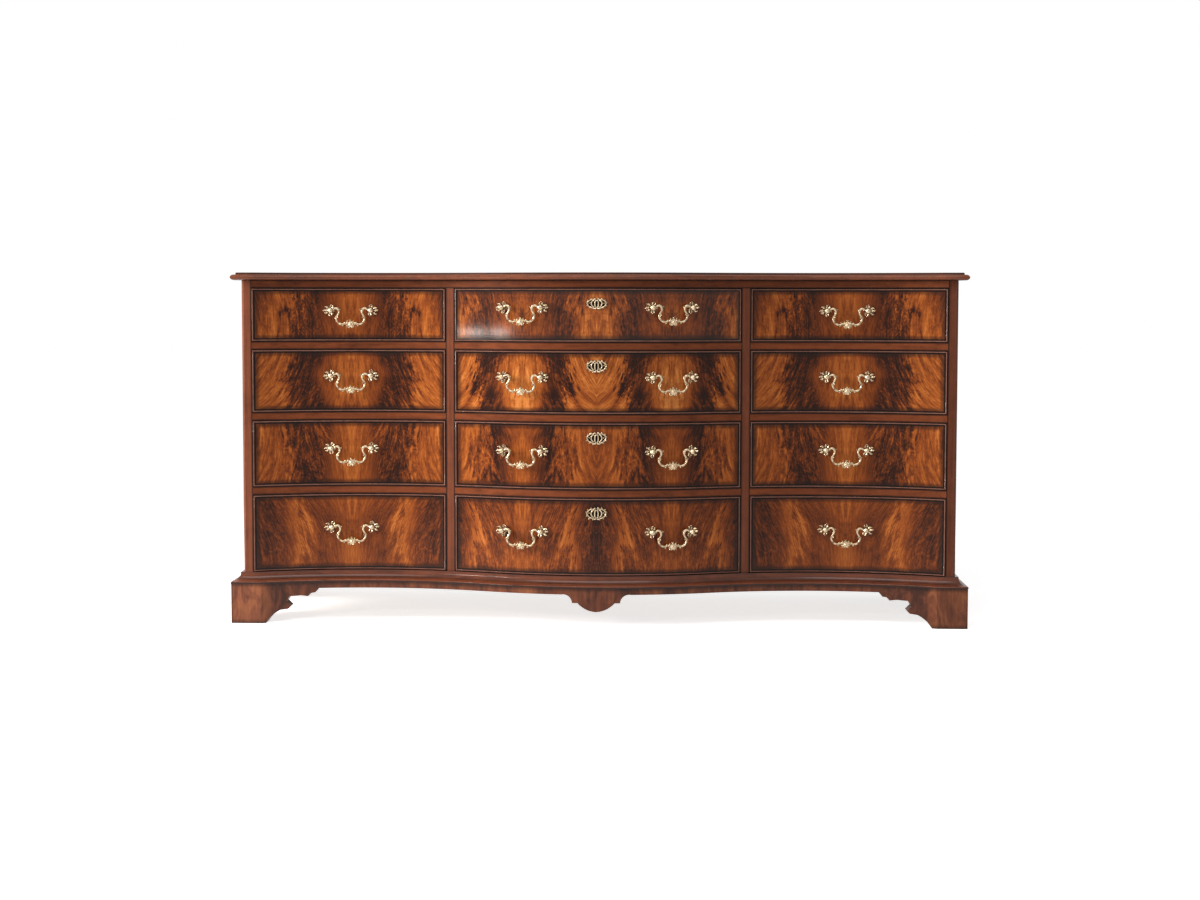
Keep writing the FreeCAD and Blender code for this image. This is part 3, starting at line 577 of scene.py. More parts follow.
def aged_brass():
    material, tree, shader = new_finish("aged_brass")
    relief = tree.nodes.new("ShaderNodeAttribute")
    relief.attribute_name = "relief"
    grime = noise(tree, stretched(tree, place_in_piece(tree), (420.0, 420.0, 420.0)), 3.0, 0.6)
    tone = sums(tree, "MULTIPLY_ADD", sums(tree, "SUBTRACT", grime, 0.55), 1.60, relief.outputs["Fac"])
    stops = [(0.15, (0.026, 0.014, 0.007)), (0.50, (0.24, 0.155, 0.085)), (1.0, (0.57, 0.445, 0.290))]
    tree.links.new(ramp(tree, tone, stops), shader.inputs["Base Color"])
    tree.links.new(ramp(tree, tone, [(0.1, 0.60), (0.7, 0.30)]), shader.inputs["Roughness"])
    tree.links.new(ramp(tree, tone, [(0.1, 0.30), (0.5, 0.90)]), shader.inputs["Metallic"])
    return material


# Painted shade: a near-black finish for the keyhole and for the gaps in the escutcheon, which lie in shade.
def painted_shade_in_gaps():
    material, tree, shader = new_finish("painted_shade_plate")
    patches = noise(tree, stretched(tree, place_in_piece(tree), (300.0, 300.0, 300.0)))
    colour = ramp(tree, patches, [(0.3, (0.004, 0.003, 0.002)), (0.7, (0.012, 0.008, 0.006))])
    tree.links.new(colour, shader.inputs["Base Color"])
    shader.inputs["Roughness"].default_value = 0.8
    shader.inputs["Specular IOR Level"].default_value = 0.1
    return material


brass, painted_shade_black = aged_brass(), painted_shade_in_gaps()
print("metal and gap_shade:", brass.name, painted_shade_black.name)

# %% [markdown]
# Pieces are built as lists of corners and faces, then set down with their finish and their body. Faces
# that meet at a shallow angle are shaded as one curve, and sharper corners stay crisp. A body is what the
# piece moves with: a bead rides on its drawer, so it slides out with it.

# %% Setting a piece down


def new_mesh(name, shape, finish, crisp=35.0):
    """A mesh from corners and faces, smooth but for corners sharper than crisp degrees."""
    corners, faces = shape
    mesh = bpy.data.meshes.new(name)
    mesh.from_pydata([tuple(corner) for corner in corners], [], faces)
    mesh.validate()
    mesh.polygons.foreach_set("use_smooth", [True] * len(mesh.polygons))
    mesh.set_sharp_from_angle(angle=math.radians(crisp))
    mesh.materials.append(finish)
    return mesh


def set_down(name, mesh, body, stands_for=(), place=None):
    """Sets a piece down on its body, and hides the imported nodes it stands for."""
    piece = bpy.data.objects.new(name, mesh)
    bpy.context.scene.collection.objects.link(piece)
    if place is not None:
        piece.matrix_world = place
    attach(piece, body)
    if stands_for:
        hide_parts(*stands_for)
    return piece


def make_piece(name, shape, finish, body, stands_for=(), crisp=35.0):
    """Makes a mesh that is used once, and sets it down where it was drawn."""
    return set_down(name, new_mesh(name, shape, finish, crisp), body, stands_for)


# %% [markdown]
# Most pieces are skins: one closed outline after another, joined with faces, like the ribs of a boat and
# its planking. Small helpers join shapes, move them and mirror them. A mirrored shape has its faces turned
# round again, or they would point inwards.

# %% Shapes


def skin(loops, closed=False):
    """Joins a row of closed loops with faces, and closes its two ends."""
    corners = [corner for loop in loops for corner in loop]
    count, size = len(loops), len(loops[0])
    faces = []
    for i in range(count if closed else count - 1):
        a, b = i * size, (i + 1) % count * size
        faces += [(a + j, a + (j + 1) % size, b + (j + 1) % size, b + j) for j in range(size)]
    if not closed:
        faces += [tuple(range(size))[::-1], tuple(range((count - 1) * size, count * size))]
    return corners, faces


def join(shapes):
    corners, faces = [], []
    for part_corners, part_faces in shapes:
        start = len(corners)
        corners += list(part_corners)
        faces += [tuple(i + start for i in face) for face in part_faces]
    return corners, faces


def moved(shape, place):
    return [place @ Vector(corner) for corner in shape[0]], shape[1]


def mirrored(shape):
    """The shape's twin on the other side of X = 0."""
    corners, faces = moved(shape, Matrix.Diagonal((-1, 1, 1, 1)))
    return corners, [face[::-1] for face in faces]


unit_square = [(0, 0), (1, 0), (1, 1), (0, 1)]
print("faces of a test box:", len(skin([[(x, y, z) for x, y in unit_square] for z in (0, 1)])[1]))

# %% [markdown]
# A drawer front is a thick board sawn to the curve. On the real piece the groundwork is built up in
# blocks and veneered. The board's back follows the front at an even thickness, so the drawer keeps its
# room in the hollows. Rails are sawn to the same curve but have a straight back.

# %% Curved boards
front_thickness = 0.022
veneer_thickness = 0.0012
board_pieces = {"left": 48, "middle": 72, "right": 48}


def curved_board(x0, x1, z0, z1, proud, behind=None, straight_back=None, pieces=48):
    """Board whose face follows the front. Its back follows the front too, or lies straight."""
    loops = []
    for x in steps(x0, x1, pieces):
        back = front_y(x, behind) if straight_back is None else straight_back
        face = front_y(x, proud)
        loops.append([(x, back, z0), (x, back, z1), (x, face, z1), (x, face, z0)])
    return skin(loops)


bow_depth = front_y(columns["middle"][1]) - front_y(0.0)
print("bow of the middle drawers, m:", round(bow_depth, 4))

# %% [markdown]
# The sides join the front with half-blind dovetails: the tails are cut on the side, and the sockets stop
# short of the face, so no end grain shows from the front. The joint pulls tighter when the drawer does.
# The sockets aren't cut out of the board here: the pins left between them are built up instead, which
# gives cleaner faces than cutting one solid from another.

# %% Sockets for the dovetails
side_gap, side_thickness = 0.002, 0.012
runner_play, top_play = 0.0004, 0.003
tail_pitch, tail_share, tail_length, tail_slope, tail_play = 0.046, 0.70, 0.011, 1 / 6, 0.0001


def tail_levels(z0, z1):
    """Middle height of each tail on a drawer side, and the room each one has."""
    low, high = z0 + runner_play, z1 - top_play
    count = round((high - low) / tail_pitch)
    pitch = (high - low) / count
    return [low + pitch * (i + 0.5) for i in range(count)], pitch


def socketed_end(end, inner, z0, z1):
    """The last few millimetres of the front: a thin face, and pins between the sockets."""
    side_end = end + math.copysign(side_gap - front_gap, inner - end)
    tip = min(front_y(x, -front_thickness) for x in (side_end, inner)) - tail_length - tail_play
    left, right = sorted((end, inner))
    middles, pitch = tail_levels(z0, z1)
    low, high = z0 + front_gap, z1 - front_gap
    blocks = [curved_board(left, right, low, high, -veneer_thickness, straight_back=tip, pieces=4)]
    for i in range(len(middles) + 1):
        loops = []
        for x in (left, right):
            back = front_y(x, -front_thickness)
            edges = []
            for y in (back, tip):
                half = tail_share * pitch / 2 + tail_play - tail_slope * (y - tip)
                under = middles[i - 1] + half if i else low
                over = middles[i] - half if i < len(middles) else high
                edges += [(y, under), (y, over)] if y == back else [(y, over), (y, under)]
            loops.append([(x, y, z) for y, z in edges])
        blocks.append(skin(loops))
    return blocks


print("tails on a side, by row:", {row: len(tail_levels(*levels)[0]) for row, levels in rows.items()})

# %% [markdown]
# Each front is its groundwork and one sheet of veneer over it. They are two pieces, as on the bench, so
# the edge of the veneer shows as a fine line when a drawer is open, and each has its own wood.

# %% The drawer fronts
grounds = []
for row, (z0, z1) in rows.items():
    for column, (x0, x1) in columns.items():
        name, pieces = f"{row}_{column}", board_pieces[column]
        left, right, low, high = x0 + front_gap, x1 - front_gap, z0 + front_gap, z1 - front_gap
        board_left = x0 + side_gap + side_thickness + tail_play
        board_right = x1 - side_gap - side_thickness - tail_play
        middle_board = curved_board(
            board_left, board_right, low, high, -veneer_thickness, -front_thickness, pieces=pieces
        )
        ends = socketed_end(left, board_left, z0, z1) + socketed_end(right, board_right, z0, z1)
        ground = join([middle_board] + ends)
        stands_for = [f"drawer_front_{name}"]
        grounds.append(
            make_piece(f"ground_{name}", ground, front_mahogany, f"drawer_{name}", stands_for)
        )
        sheet = curved_board(left, right, low, high, 0.0, -veneer_thickness, pieces=pieces)
        make_piece(f"veneer_{name}", sheet, veneers[row, column], f"drawer_{name}")
print("drawer fronts set down:", len(grounds))

# %% [markdown]
# Cockbeads are thin strips let into a rebate round each front. Their rounded noses stand proud of the
# veneer and guard its edges. They are mitred at the corners. One section swept round the front makes the
# whole ring, and the mitres come by themselves where the path turns. Each corner's height over the veneer
# is kept, and from it the finish paints the bead's low sides dark as shade and its nose paler as wear.

# %% Cockbeads
bead_proud, bead_root = 0.0025, 0.001
nose_steps, upright_pieces = 8, 4
nose_radius = bead_width / 2
bead_section = [(0.0, -bead_root)]
for i in range(nose_steps + 1):
    turn = math.pi * (1 - i / nose_steps)
    nose_height = bead_proud - nose_radius + nose_radius * math.sin(turn)
    bead_section.append((nose_radius + nose_radius * math.cos(turn), nose_height))
bead_section.append((bead_width, -bead_root))


def bead_ring(x0, x1, z0, z1, pieces):
    """The bead's section, swept round an opening from its lower left corner."""
    stations = [(i / pieces, 0.0) for i in range(pieces)]
    stations += [(1.0, i / upright_pieces) for i in range(upright_pieces)]
    stations += [(1 - i / pieces, 1.0) for i in range(pieces)]
    stations += [(0.0, 1 - i / upright_pieces) for i in range(upright_pieces)]
    loops = []
    for along, up in stations:
        loop = []
        for inward, height in bead_section:
            x = between(x0 + inward, x1 - inward, along)
            z = between(z0 + inward, z1 - inward, up)
            loop.append((x, front_y(x, height), z))
        loops.append(loop)
    return skin(loops[::-1], closed=True)


beads = []
# Height of each corner of the section, from which the bead's painted quirk shade and its rubbed nose are
# drawn.
bead_shade_and_wear = [(height + bead_root) / (bead_proud + bead_root) for _, height in bead_section]
for row, (z0, z1) in rows.items():
    for column, (x0, x1) in columns.items():
        name = f"{row}_{column}"
        left, right, low, high = x0 + front_gap, x1 - front_gap, z0 + front_gap, z1 - front_gap
        ring = bead_ring(left, right, low, high, board_pieces[column])
        bead = make_piece(f"bead_{name}", ring, bead_mahogany, f"drawer_{name}", crisp=50.0)
        layer = bead.data.attributes.new("relief", "FLOAT", "POINT")
        layer.data.foreach_set("value", bead_shade_and_wear * (len(ring[0]) // len(bead_shade_and_wear)))
        beads.append(bead)
print("beads mitred:", len(beads))

# %% [markdown]
# Rails tie the uprights together and part the drawers. The two wide ones run the full length above and
# below the drawers, the narrow ones fill each column, and all are sawn to the front's curve. Their backs
# are straight, since the web frames behind them are square.

# %% Rails
rail_depth, rail_height = 0.060, 0.0215
rail_back_y = hollow_y + rail_depth
rails = []
for low, high in ((case_bottom, openings_bottom), (openings_top, case_top)):
    wide = curved_board(-opening_end, opening_end, low, high, 0.0, straight_back=rail_back_y, pieces=160)
    rails.append(wide)
for row in ("lower", "upper", "top"):
    level = rows[row][0]
    for x0, x1 in columns.values():
        low = level - rail_height
        rails.append(curved_board(x0, x1, low, level, 0.0, straight_back=rail_back_y, pieces=64))
make_piece("rails", join(rails), lengthwise_mahogany, "case", ["front_rails"])
print("rails:", len(rails))

# %% [markdown]
# Mouldings are run to one section and bent or carved round the curve. Each follows an outline that ends
# in a short flat, turns the corner and runs back along the side. A moulding is then that outline at many
# heights, each one as proud as its section says.

# %% The outline of a moulding


def corner_flat(proud, outer, flat_length):
    """Where the curve ends and the short flat begins, at a given height off the case."""
    start = half_case + outer - flat_length
    y = front_y(start, outer) + outer - proud
    reach = hollow_radius - proud
    return hollow_x + math.sqrt(reach**2 - (y - hollow_centre_y) ** 2), y


def outline(proud, outer, flat_length, z, pieces=160):
    """From the back's left end round the front to the back's right end."""
    flat_x, flat_y = corner_flat(proud, outer, flat_length)
    side_x = half_case + proud
    path = [(-side_x, back_y), (-side_x, flat_y), (-flat_x, flat_y)]
    path += [(x, front_y(x, proud)) for x in steps(-flat_x, flat_x, pieces)[1:-1]]
    path += [(flat_x, flat_y), (side_x, flat_y), (side_x, back_y)]
    return [(x, y, z) for x, y in path]


print("corners in an outline:", len(outline(0.0, base_out, base_flat, 0.0)))

# %% [markdown]
# The top is one thick board with a round nose, and a small step above it. The step throws the thin line
# of shadow that makes the top look lighter than it is. It is built from its outlines, from below upwards.

# %% The top
top_overhang, top_flat = 0.024, 0.057
top_nose_reach, top_nose_height, fillet_inset, top_arris = 0.010, 0.015, 0.012, 0.0015
top_section = []
for turn in steps(-math.pi / 2, math.pi / 2, 12):
    proud = top_overhang - top_nose_reach * (1 - math.cos(turn))
    top_section.append((proud, case_top + top_nose_height * (0.5 + 0.5 * math.sin(turn))))
fillet = top_overhang - fillet_inset
top_section += [
    (fillet, case_top + top_nose_height),
    (fillet, overall_height - top_arris),
    (fillet - top_arris, overall_height),
]
top_shape = skin([outline(proud, top_overhang, top_flat, z) for proud, z in top_section])
make_piece("top", top_shape, top_mahogany, "case", ["top_board"])
print("outlines in the top:", len(top_section))

# %% [markdown]
# The base moulding hides the joint between the case and its feet: a bead below and a cove above it. Its
# real lengths are planed in one section and mitred at the corners. Here the section is turned into a row
# of stations along the dresser, so that each end can be closed and the moulding is a solid strip.

# %% The base moulding
bead_radius, cove_radius, cove_drop, into_case = 0.003, 0.019, 0.003, 0.001
cove_top = openings_bottom - cove_drop
cove_base = cove_top - cove_radius
section = [(base_out, case_bottom)]
for turn in steps(0.0, math.pi / 2, 4):
    proud = base_out - bead_radius * (1 - math.cos(turn))
    section.append((proud, cove_base - bead_radius + bead_radius * math.sin(turn)))
for turn in steps(math.pi / 2, 0.0, 10)[1:]:
    proud = base_out - bead_radius - cove_radius * math.cos(turn)
    section.append((proud, cove_top - cove_radius * math.sin(turn)))
section.append((base_out - bead_radius - cove_radius, openings_bottom))
section = [(-into_case, case_bottom)] + section + [(-into_case, openings_bottom)]
lengths = [outline(proud, base_out, base_flat, z) for proud, z in section]
base_shape = skin([list(station) for station in zip(*lengths)][::-1])
make_piece("base_mould", base_shape, moulding_mahogany, "case", ["base_moulding"])
print("lines along the base moulding:", len(lengths))

# %% [markdown]
# Each handle hangs on two cast posts. A post is a turned pommel rising from a spray of curled leaves. The
# leaves are cast open, so the veneer shows between them. A leaf is a thin blade, arched across its width
# and curled up at its tip. Two helpers draw all of it: one bends a blade, and one turns a profile round.

# %% Leaves and turned work
leaf_crown, leaf_arch, leaf_rib, leaf_thickness = 0.0016, 0.0011, 0.0005, 0.0011


def leaf(length, width, curl, lobes=3, along=12, across=4, bend=0.0):
    """A curled leaf lying along +X from its root, arched up towards +Z."""
    upper, lower = [], []
    for t in steps(0.0, 1.0, along):
        swell = math.sin(math.pi * min(t * 0.92 + 0.10, 1.0)) ** 0.7
        half = width / 2 * swell * (0.80 + 0.20 * math.cos(2 * math.pi * lobes * t))
        rise = leaf_crown * math.sin(math.pi * t) + curl * t**3
        reach = length * (math.sin(math.pi / 2 * t) * 0.9 + 0.1 * t)
        for j in range(across + 1):
            s = 2 * j / across - 1
            height = rise + leaf_arch * (1 - s * s) + leaf_rib * (j == across / 2)
            lower.append((reach, half * s + bend * t * t, height))
            upper.append((reach, half * s + bend * t * t, height + leaf_thickness))
    size, base = across + 1, len(upper)
    faces = []
    for i in range(along):
        for j in range(across):
            a = i * size + j
            faces.append((a, a + size, a + size + 1, a + 1))
            faces.append((base + a, base + a + 1, base + a + size + 1, base + a + size))
        a, b = i * size, i * size + across
        faces.append((a, base + a, base + a + size, a + size))
        faces.append((b, b + size, base + b + size, base + b))
    for start in (0, along * size):
        over = list(range(start, start + size))
        under = list(range(base + start, base + start + size))
        faces.append(tuple(over + under[::-1]) if start == 0 else tuple(over[::-1] + under))
    return upper + lower, faces


def turned(profile, count=20, flutes=0, depth=0.0):
    """A turned form round Z from (radius, height) pairs, fluted if asked."""
    loops = []
    for radius, height in profile:
        loop = []
        for i in range(count):
            turn = 2 * math.pi * i / count
            reach = radius * (1 + depth * math.cos(flutes * turn))
            loop.append((reach * math.cos(turn), reach * math.sin(turn), height))
        loops.append(loop)
    return skin(loops)


def spin(degrees):
    return Matrix.Rotation(math.radians(degrees), 4, "Z")


def shift(x, y, z):
    return Matrix.Translation((x, y, z))


print("corners in a leaf:", len(leaf(0.018, 0.006, 0.004)[0]))

# %% [markdown]
# The posts are cast from one pattern. The spray has eight leaves of uneven length, since a hand-cut
# pattern is never quite even. Each ends in a small knob and carries a twig at its side. The pommel above
# them is drilled for the bail's pin on the real post, and here the pin simply ends inside it. The shank
# below goes through the front.

# %% A cast post
root_inset, shank_radius = 0.004, 0.0021
leaf_spray = [
    (-4, 0.0184, 0.0064, 0.0048, 0.0024),
    (36, 0.0166, 0.0062, 0.0036, -0.0034),
    (-46, 0.0170, 0.0062, 0.0040, 0.0034),
    (76, 0.0152, 0.0060, 0.0042, 0.0032),
    (-90, 0.0154, 0.0062, 0.0034, -0.0034),
    (118, 0.0140, 0.0058, 0.0040, -0.0028),
    (-134, 0.0142, 0.0058, 0.0042, 0.0030),
    (162, 0.0122, 0.0050, 0.0034, 0.0020),
]
knob = turned([(0.0006, 0.0), (0.0013, 0.0006), (0.0014, 0.0012), (0.0010, 0.0018), (0.0003, 0.0021)], 8)
post_parts = []
for degrees, length, width, curl, bend in leaf_spray:
    blade = leaf(length - root_inset, width, curl, bend=bend)
    post_parts.append(moved(blade, spin(degrees) @ shift(root_inset, 0, 0.0004)))
    twig = leaf(0.0058, 0.0026, 0.0024, 1, 6, bend=-bend / 2)
    twig_root = shift(length * 0.60, 0, 0.0014) @ spin(-math.copysign(48, bend))
    post_parts.append(moved(twig, spin(degrees) @ twig_root))
    curl_end = shift(length - 0.0008, bend, curl + 0.0004)
    post_parts.append(moved(knob, spin(degrees) @ curl_end))
pommel = [
    (0.0062, 0.0004), (0.0064, 0.0016), (0.0050, 0.0030), (0.0038, 0.0048), (0.0036, 0.0070),
    (0.0044, 0.0088), (0.0040, 0.0098), (0.0058, 0.0112), (0.0071, 0.0136), (0.0076, 0.0165),
    (0.0073, 0.0190), (0.0062, 0.0212), (0.0044, 0.0226), (0.0026, 0.0233), (0.0022, 0.0240), (0.0012, 0.0245),
]
post_parts.append(turned(pommel, 24, 8, 0.02))
post_parts.append(turned([(shank_radius, -(front_thickness + 0.0001)), (shank_radius, 0.0006)], 8))
post_shape = join(post_parts)
print("corners in a post:", len(post_shape[0]))

# %% [markdown]
# A bar is a round section carried along a smooth path, and its radius swells and thins as it goes. The
# path runs through a few marked points with a curve that passes exactly through each, which is how a
# pattern maker would bend a wire round pins.

# %% Bars along a curve


def curve_through(points, pieces=8):
    """A smooth path through points, with each point's radius blended along it."""
    path = []
    ends = [points[0]] + points + [points[-1]]
    for i in range(len(points) - 1):
        a, b, c, d = ends[i : i + 4]
        for t in steps(0.0, 1.0, pieces)[:-1]:
            spot = []
            for p, q, r, s in zip(a, b, c, d):
                bend = (2 * p - 5 * q + 4 * r - s) * t**2 + (3 * q - p - 3 * r + s) * t**3
                spot.append(0.5 * (2 * q + (r - p) * t + bend))
            path.append(tuple(spot))
    return path + [points[-1]]


def bar(path, sides=12):
    """A round bar in the XY plane along (x, y, radius)."""
    loops = []
    for i, (x, y, radius) in enumerate(path):
        x0, y0, _ = path[max(i - 1, 0)]
        x1, y1, _ = path[min(i + 1, len(path) - 1)]
        length = math.hypot(x1 - x0, y1 - y0)
        across_x, across_y = -(y1 - y0) / length, (x1 - x0) / length
        loop = []
        for j in range(sides):
            turn = 2 * math.pi * j / sides
            out, depth = radius * math.cos(turn), radius * math.sin(turn)
            loop.append((x + across_x * out, y + across_y * out, depth))
        loops.append(loop)
    return skin(loops)


print("corners in a test bar:", len(bar(curve_through([(0, 0, 1), (1, 0, 1)]))[0]))

# %% [markdown]
# The bail is a swan neck: it leaves each pommel, rises over a knuckle, drops in an S and meets a fluted
# shell at the bottom. Its pins turn in the holes of the pommels, so it swings up to be gripped. Half of
# the neck is marked out and mirrored, and leaves and knobs are set along it in pairs.

# %% Swan-neck bail
neck = [
    (-0.0505, 0.0, 0.0016), (-0.0462, 0.0006, 0.0016), (-0.0430, 0.0036, 0.0026),
    (-0.0385, 0.0056, 0.0030), (-0.0335, 0.0042, 0.0034), (-0.0306, -0.0002, 0.0035),
    (-0.0302, -0.0062, 0.0028), (-0.0330, -0.0120, 0.0026), (-0.0362, -0.0180, 0.0031),
    (-0.0362, -0.0250, 0.0030), (-0.0322, -0.0318, 0.0027), (-0.0260, -0.0358, 0.0033),
    (-0.0195, -0.0362, 0.0025), (-0.0135, -0.0344, 0.0028), (-0.0075, -0.0348, 0.0035), (0.0, -0.0362, 0.0038),
]
neck_knobs = [
    (0.0, -0.0282, 1.9), (0.0078, -0.0318, 1.7), (0.0086, -0.0400, 1.5), (0.0040, -0.0442, 1.5),
    (0.0150, -0.0322, 1.5), (0.0205, -0.0386, 1.5), (0.0300, -0.0050, 1.2),
]
neck_leaves = [
    (0.0060, -0.0350, -8, 0.0090, 0.0044),
    (0.0055, -0.0405, -50, 0.0066, 0.0036),
    (0.0050, -0.0315, 50, 0.0070, 0.0036),
    (0.0008, -0.0295, 82, 0.0060, 0.0034),
    (0.0300, 0.0010, 160, 0.0060, 0.0040),
    (0.0350, -0.0170, -20, 0.0062, 0.0040),
    (0.0235, -0.0372, -150, 0.0070, 0.0050),
    (0.0345, -0.0225, 110, 0.0072, 0.0042),
    (0.0300, -0.0335, 40, 0.0060, 0.0040),
]
shell_profile = [(0.0078, -0.0016), (0.0086, 0.0002), (0.0074, 0.0024), (0.0048, 0.0034), (0.0022, 0.0036)]
boss_profile = [(0.0034, 0.0), (0.0036, 0.0012), (0.0022, 0.0028), (0.0008, 0.0032)]
shell_y = -0.0365
bail_parts = [
    bar(curve_through(neck + [(-x, y, radius) for x, y, radius in reversed(neck[:-1])], 5)),
    moved(turned(shell_profile, 42, 7, 0.16), shift(0, shell_y, 0.0004)),
    moved(turned(boss_profile, 16), shift(0, shell_y, 0.0044)),
]
for x, y, grown in neck_knobs:
    for knob_x in sorted({-x, x}):
        bail_parts.append(moved(knob, shift(knob_x, y, 0.0008) @ Matrix.Scale(grown, 4)))
for x, y, degrees, length, width in neck_leaves:
    blade = moved(leaf(length, width, 0.0012, 2, 8), shift(x, y, 0.0016) @ spin(degrees))
    bail_parts += [blade, mirrored(blade)]
bail_shape = join(bail_parts)
print("corners in a bail:", len(bail_shape[0]))

# %% [markdown]
# Handles are set square to the curve at each place. The two posts of a handle lean a little apart on the
# bow and together in a hollow, because each stands square to the wood under it. So the place of a handle
# is worked out from the centre of its arc, and a matrix turns the casting to face straight out.

# %% Where a handle stands
handle_spread, handle_standoff = 0.105, 0.017


def seat(x, z):
    """Centre of the arc under a handle, its sense, the directions along and out, and the pivot."""
    on_bow = abs(x) < bow_radius * math.sin(bow_angle)
    centre_x, centre_y = (0.0, bow_centre_y) if on_bow else (math.copysign(hollow_x, x), hollow_centre_y)
    radius, sense = (bow_radius, 1) if on_bow else (hollow_radius, -1)
    centre = Vector((centre_x, centre_y, z))
    face = Vector((x, front_y(x), z))
    out = ((face - centre) * sense).normalized()
    along = Vector((-out.y, out.x, 0))
    reach = radius + sense * handle_standoff
    pivot = face + out * (sense * (math.sqrt(reach**2 - (handle_spread / 2) ** 2) - radius))
    return centre, sense, along, out, pivot


def stand_at(spot, out):
    """Place with +Z pointing out of the wood and +Y up."""
    along = Vector((-out.y, out.x, 0))
    place = Matrix((along, Vector((0, 0, 1)), out)).transposed().to_4x4()
    place.translation = spot
    return place


print("pivot of an outer handle, m:", [round(value, 4) for value in seat(outer_handle_x, 0.0)[4]])

# %% [markdown]
# All posts are one mesh, and so are all bails and all nuts, as castings from one mould are. Each mesh
# gets its wear from how far its corners stand out. The first post of a drawer stands for that drawer's
# packed fittings, and each bail for its own packed bail.

# %% Handles in place
handle_height = {"bottom": 0.246, "lower": 0.4545, "upper": 0.6455, "top": 0.817}
top_middle_handle_height = 0.825
handle_spots = {
    "left": {"left": -outer_handle_x},
    "middle": {"middle_left": -middle_handle_x, "middle_right": middle_handle_x},
    "right": {"right": outer_handle_x},
}
nut_reach = 0.0042


def mark_worn(mesh, low, high, axis=2):
    """Records how far each corner stands out between two heights, for the patina."""
    layer = mesh.attributes.new("relief", "FLOAT", "POINT")
    for corner, value in zip(mesh.vertices, layer.data):
        value.value = min(max((corner.co[axis] - low) / (high - low), 0.0), 1.0)


def worn_mesh(name, shape, finish, low, high):
    mesh = new_mesh(name, shape, finish, 40.0)
    mark_worn(mesh, low, high)
    return mesh


post_mesh = worn_mesh("handle_post", post_shape, brass, 0.0002, 0.0038)
bail_mesh = worn_mesh("handle_bail", bail_shape, brass, -0.0026, 0.0022)
nut_shape = turned([(0.0054, 0.0), (0.0054, 0.0034), (0.0042, 0.0040)], 4)
nut_mesh = worn_mesh("handle_nut", nut_shape, brass, -0.002, 0.004)


def hang_handle(name, drawer, x, height, stands_for):
    """A bail, and a post and a nut at each of its ends."""
    centre, sense, along, out, pivot = seat(x, height)
    set_down(f"swan_{name}", bail_mesh, f"bail_{name}", [f"bail_{name}"], stand_at(pivot, out))
    for end, side in (("a", -1), ("b", 1)):
        tip = pivot + along * (side * handle_spread / 2)
        post_out = ((tip - centre) * sense).normalized()
        foot = tip - post_out * handle_standoff
        post_place = stand_at(foot, post_out) @ spin(180 if side < 0 else 0)
        set_down(f"post_{name}_{end}", post_mesh, drawer, stands_for if side < 0 else (), post_place)
        nut_place = stand_at(foot - post_out * (front_thickness + nut_reach), post_out)
        set_down(f"nut_{name}_{end}", nut_mesh, drawer, (), nut_place)


handles_hung = 0
for row in rows:
    for column, spots in handle_spots.items():
        height = top_middle_handle_height if (row, column) == ("top", "middle") else handle_height[row]
        stands_for = [f"drawer_fittings_{row}_{column}"]
        for spot, x in spots.items():
            hang_handle(f"{row}_{spot}", f"drawer_{row}_{column}", x, height, stands_for)
            stands_for = ()
            handles_hung += 1
print("handles hung:", handles_hung)

# %% [markdown]
# The escutcheon guards the veneer round the keyhole. It is a wreath of curled leaves and C scrolls, cast
# open like the roses, and two strands frame the keyhole in its middle. A dark plate under it paints the shade
# in its gaps.
# Each strand is a bar with its twin on the other side, and one mesh serves all four drawers.

# %% Escutcheon
outer_scroll = [
    (0.0010, 0.0120, 0.0013), (0.0050, 0.0128, 0.0021), (0.0090, 0.0110, 0.0014),
    (0.0135, 0.0118, 0.0021), (0.0180, 0.0090, 0.0014), (0.0222, 0.0062, 0.0021),
    (0.0245, 0.0015, 0.0016), (0.0225, -0.0038, 0.0020), (0.0190, -0.0078, 0.0014),
    (0.0140, -0.0100, 0.0021), (0.0095, -0.0115, 0.0014), (0.0050, -0.0132, 0.0020), (0.0010, -0.0128, 0.0013),
]
inner_scroll = [
    (0.0062, 0.0094, 0.0013), (0.0112, 0.0070, 0.0018), (0.0138, 0.0012, 0.0020), (0.0120, -0.0048, 0.0018),
    (0.0068, -0.0092, 0.0013),
]
keyhole_frame = [
    (0.0004, 0.0086, 0.0013), (0.0034, 0.0070, 0.0017), (0.0044, 0.0010, 0.0019), (0.0042, -0.0056, 0.0018),
    (0.0028, -0.0092, 0.0015), (0.0004, -0.0102, 0.0013),
]
outer_leaves = [
    (0.0030, 0.0118, 72, 0.0046), (0.0120, 0.0108, 66, 0.0056), (0.0195, 0.0080, 40, 0.0062),
    (0.0232, 0.0035, 10, 0.0056), (0.0215, -0.0040, -24, 0.0062), (0.0160, -0.0090, -50, 0.0056),
    (0.0075, -0.0115, -70, 0.0050), (0.0130, 0.0010, 8, 0.0090),
]
wreath = []
for points, height in ((outer_scroll, 0.0014), (inner_scroll, 0.0014), (keyhole_frame, 0.0016)):
    for side in (-1, 1):
        path = curve_through([(side * x, y, radius) for x, y, radius in points], 4)
        wreath.append(moved(bar(path, 8), shift(0, 0, height)))
for x, y, degrees, length in outer_leaves:
    blade = moved(leaf(length, 0.0036, 0.0010, 2, 8), shift(x, y, 0.0006) @ spin(degrees))
    wreath += [blade, mirrored(blade)]
escutcheon_mesh = worn_mesh("escutcheon", join(wreath), brass, 0.0002, 0.0030)
print("corners in an escutcheon:", len(escutcheon_mesh.vertices))

# %% [markdown]
# A keyhole is a round hole with a slot under it, and its inside lies in shade. Behind the front
# sits the lock, let into its mortise. The hole and the shade in the escutcheon's gaps are painted as thin
# dark plates on the veneer, because nothing behind them could be seen at this size, and the lock is a bevelled
# block.

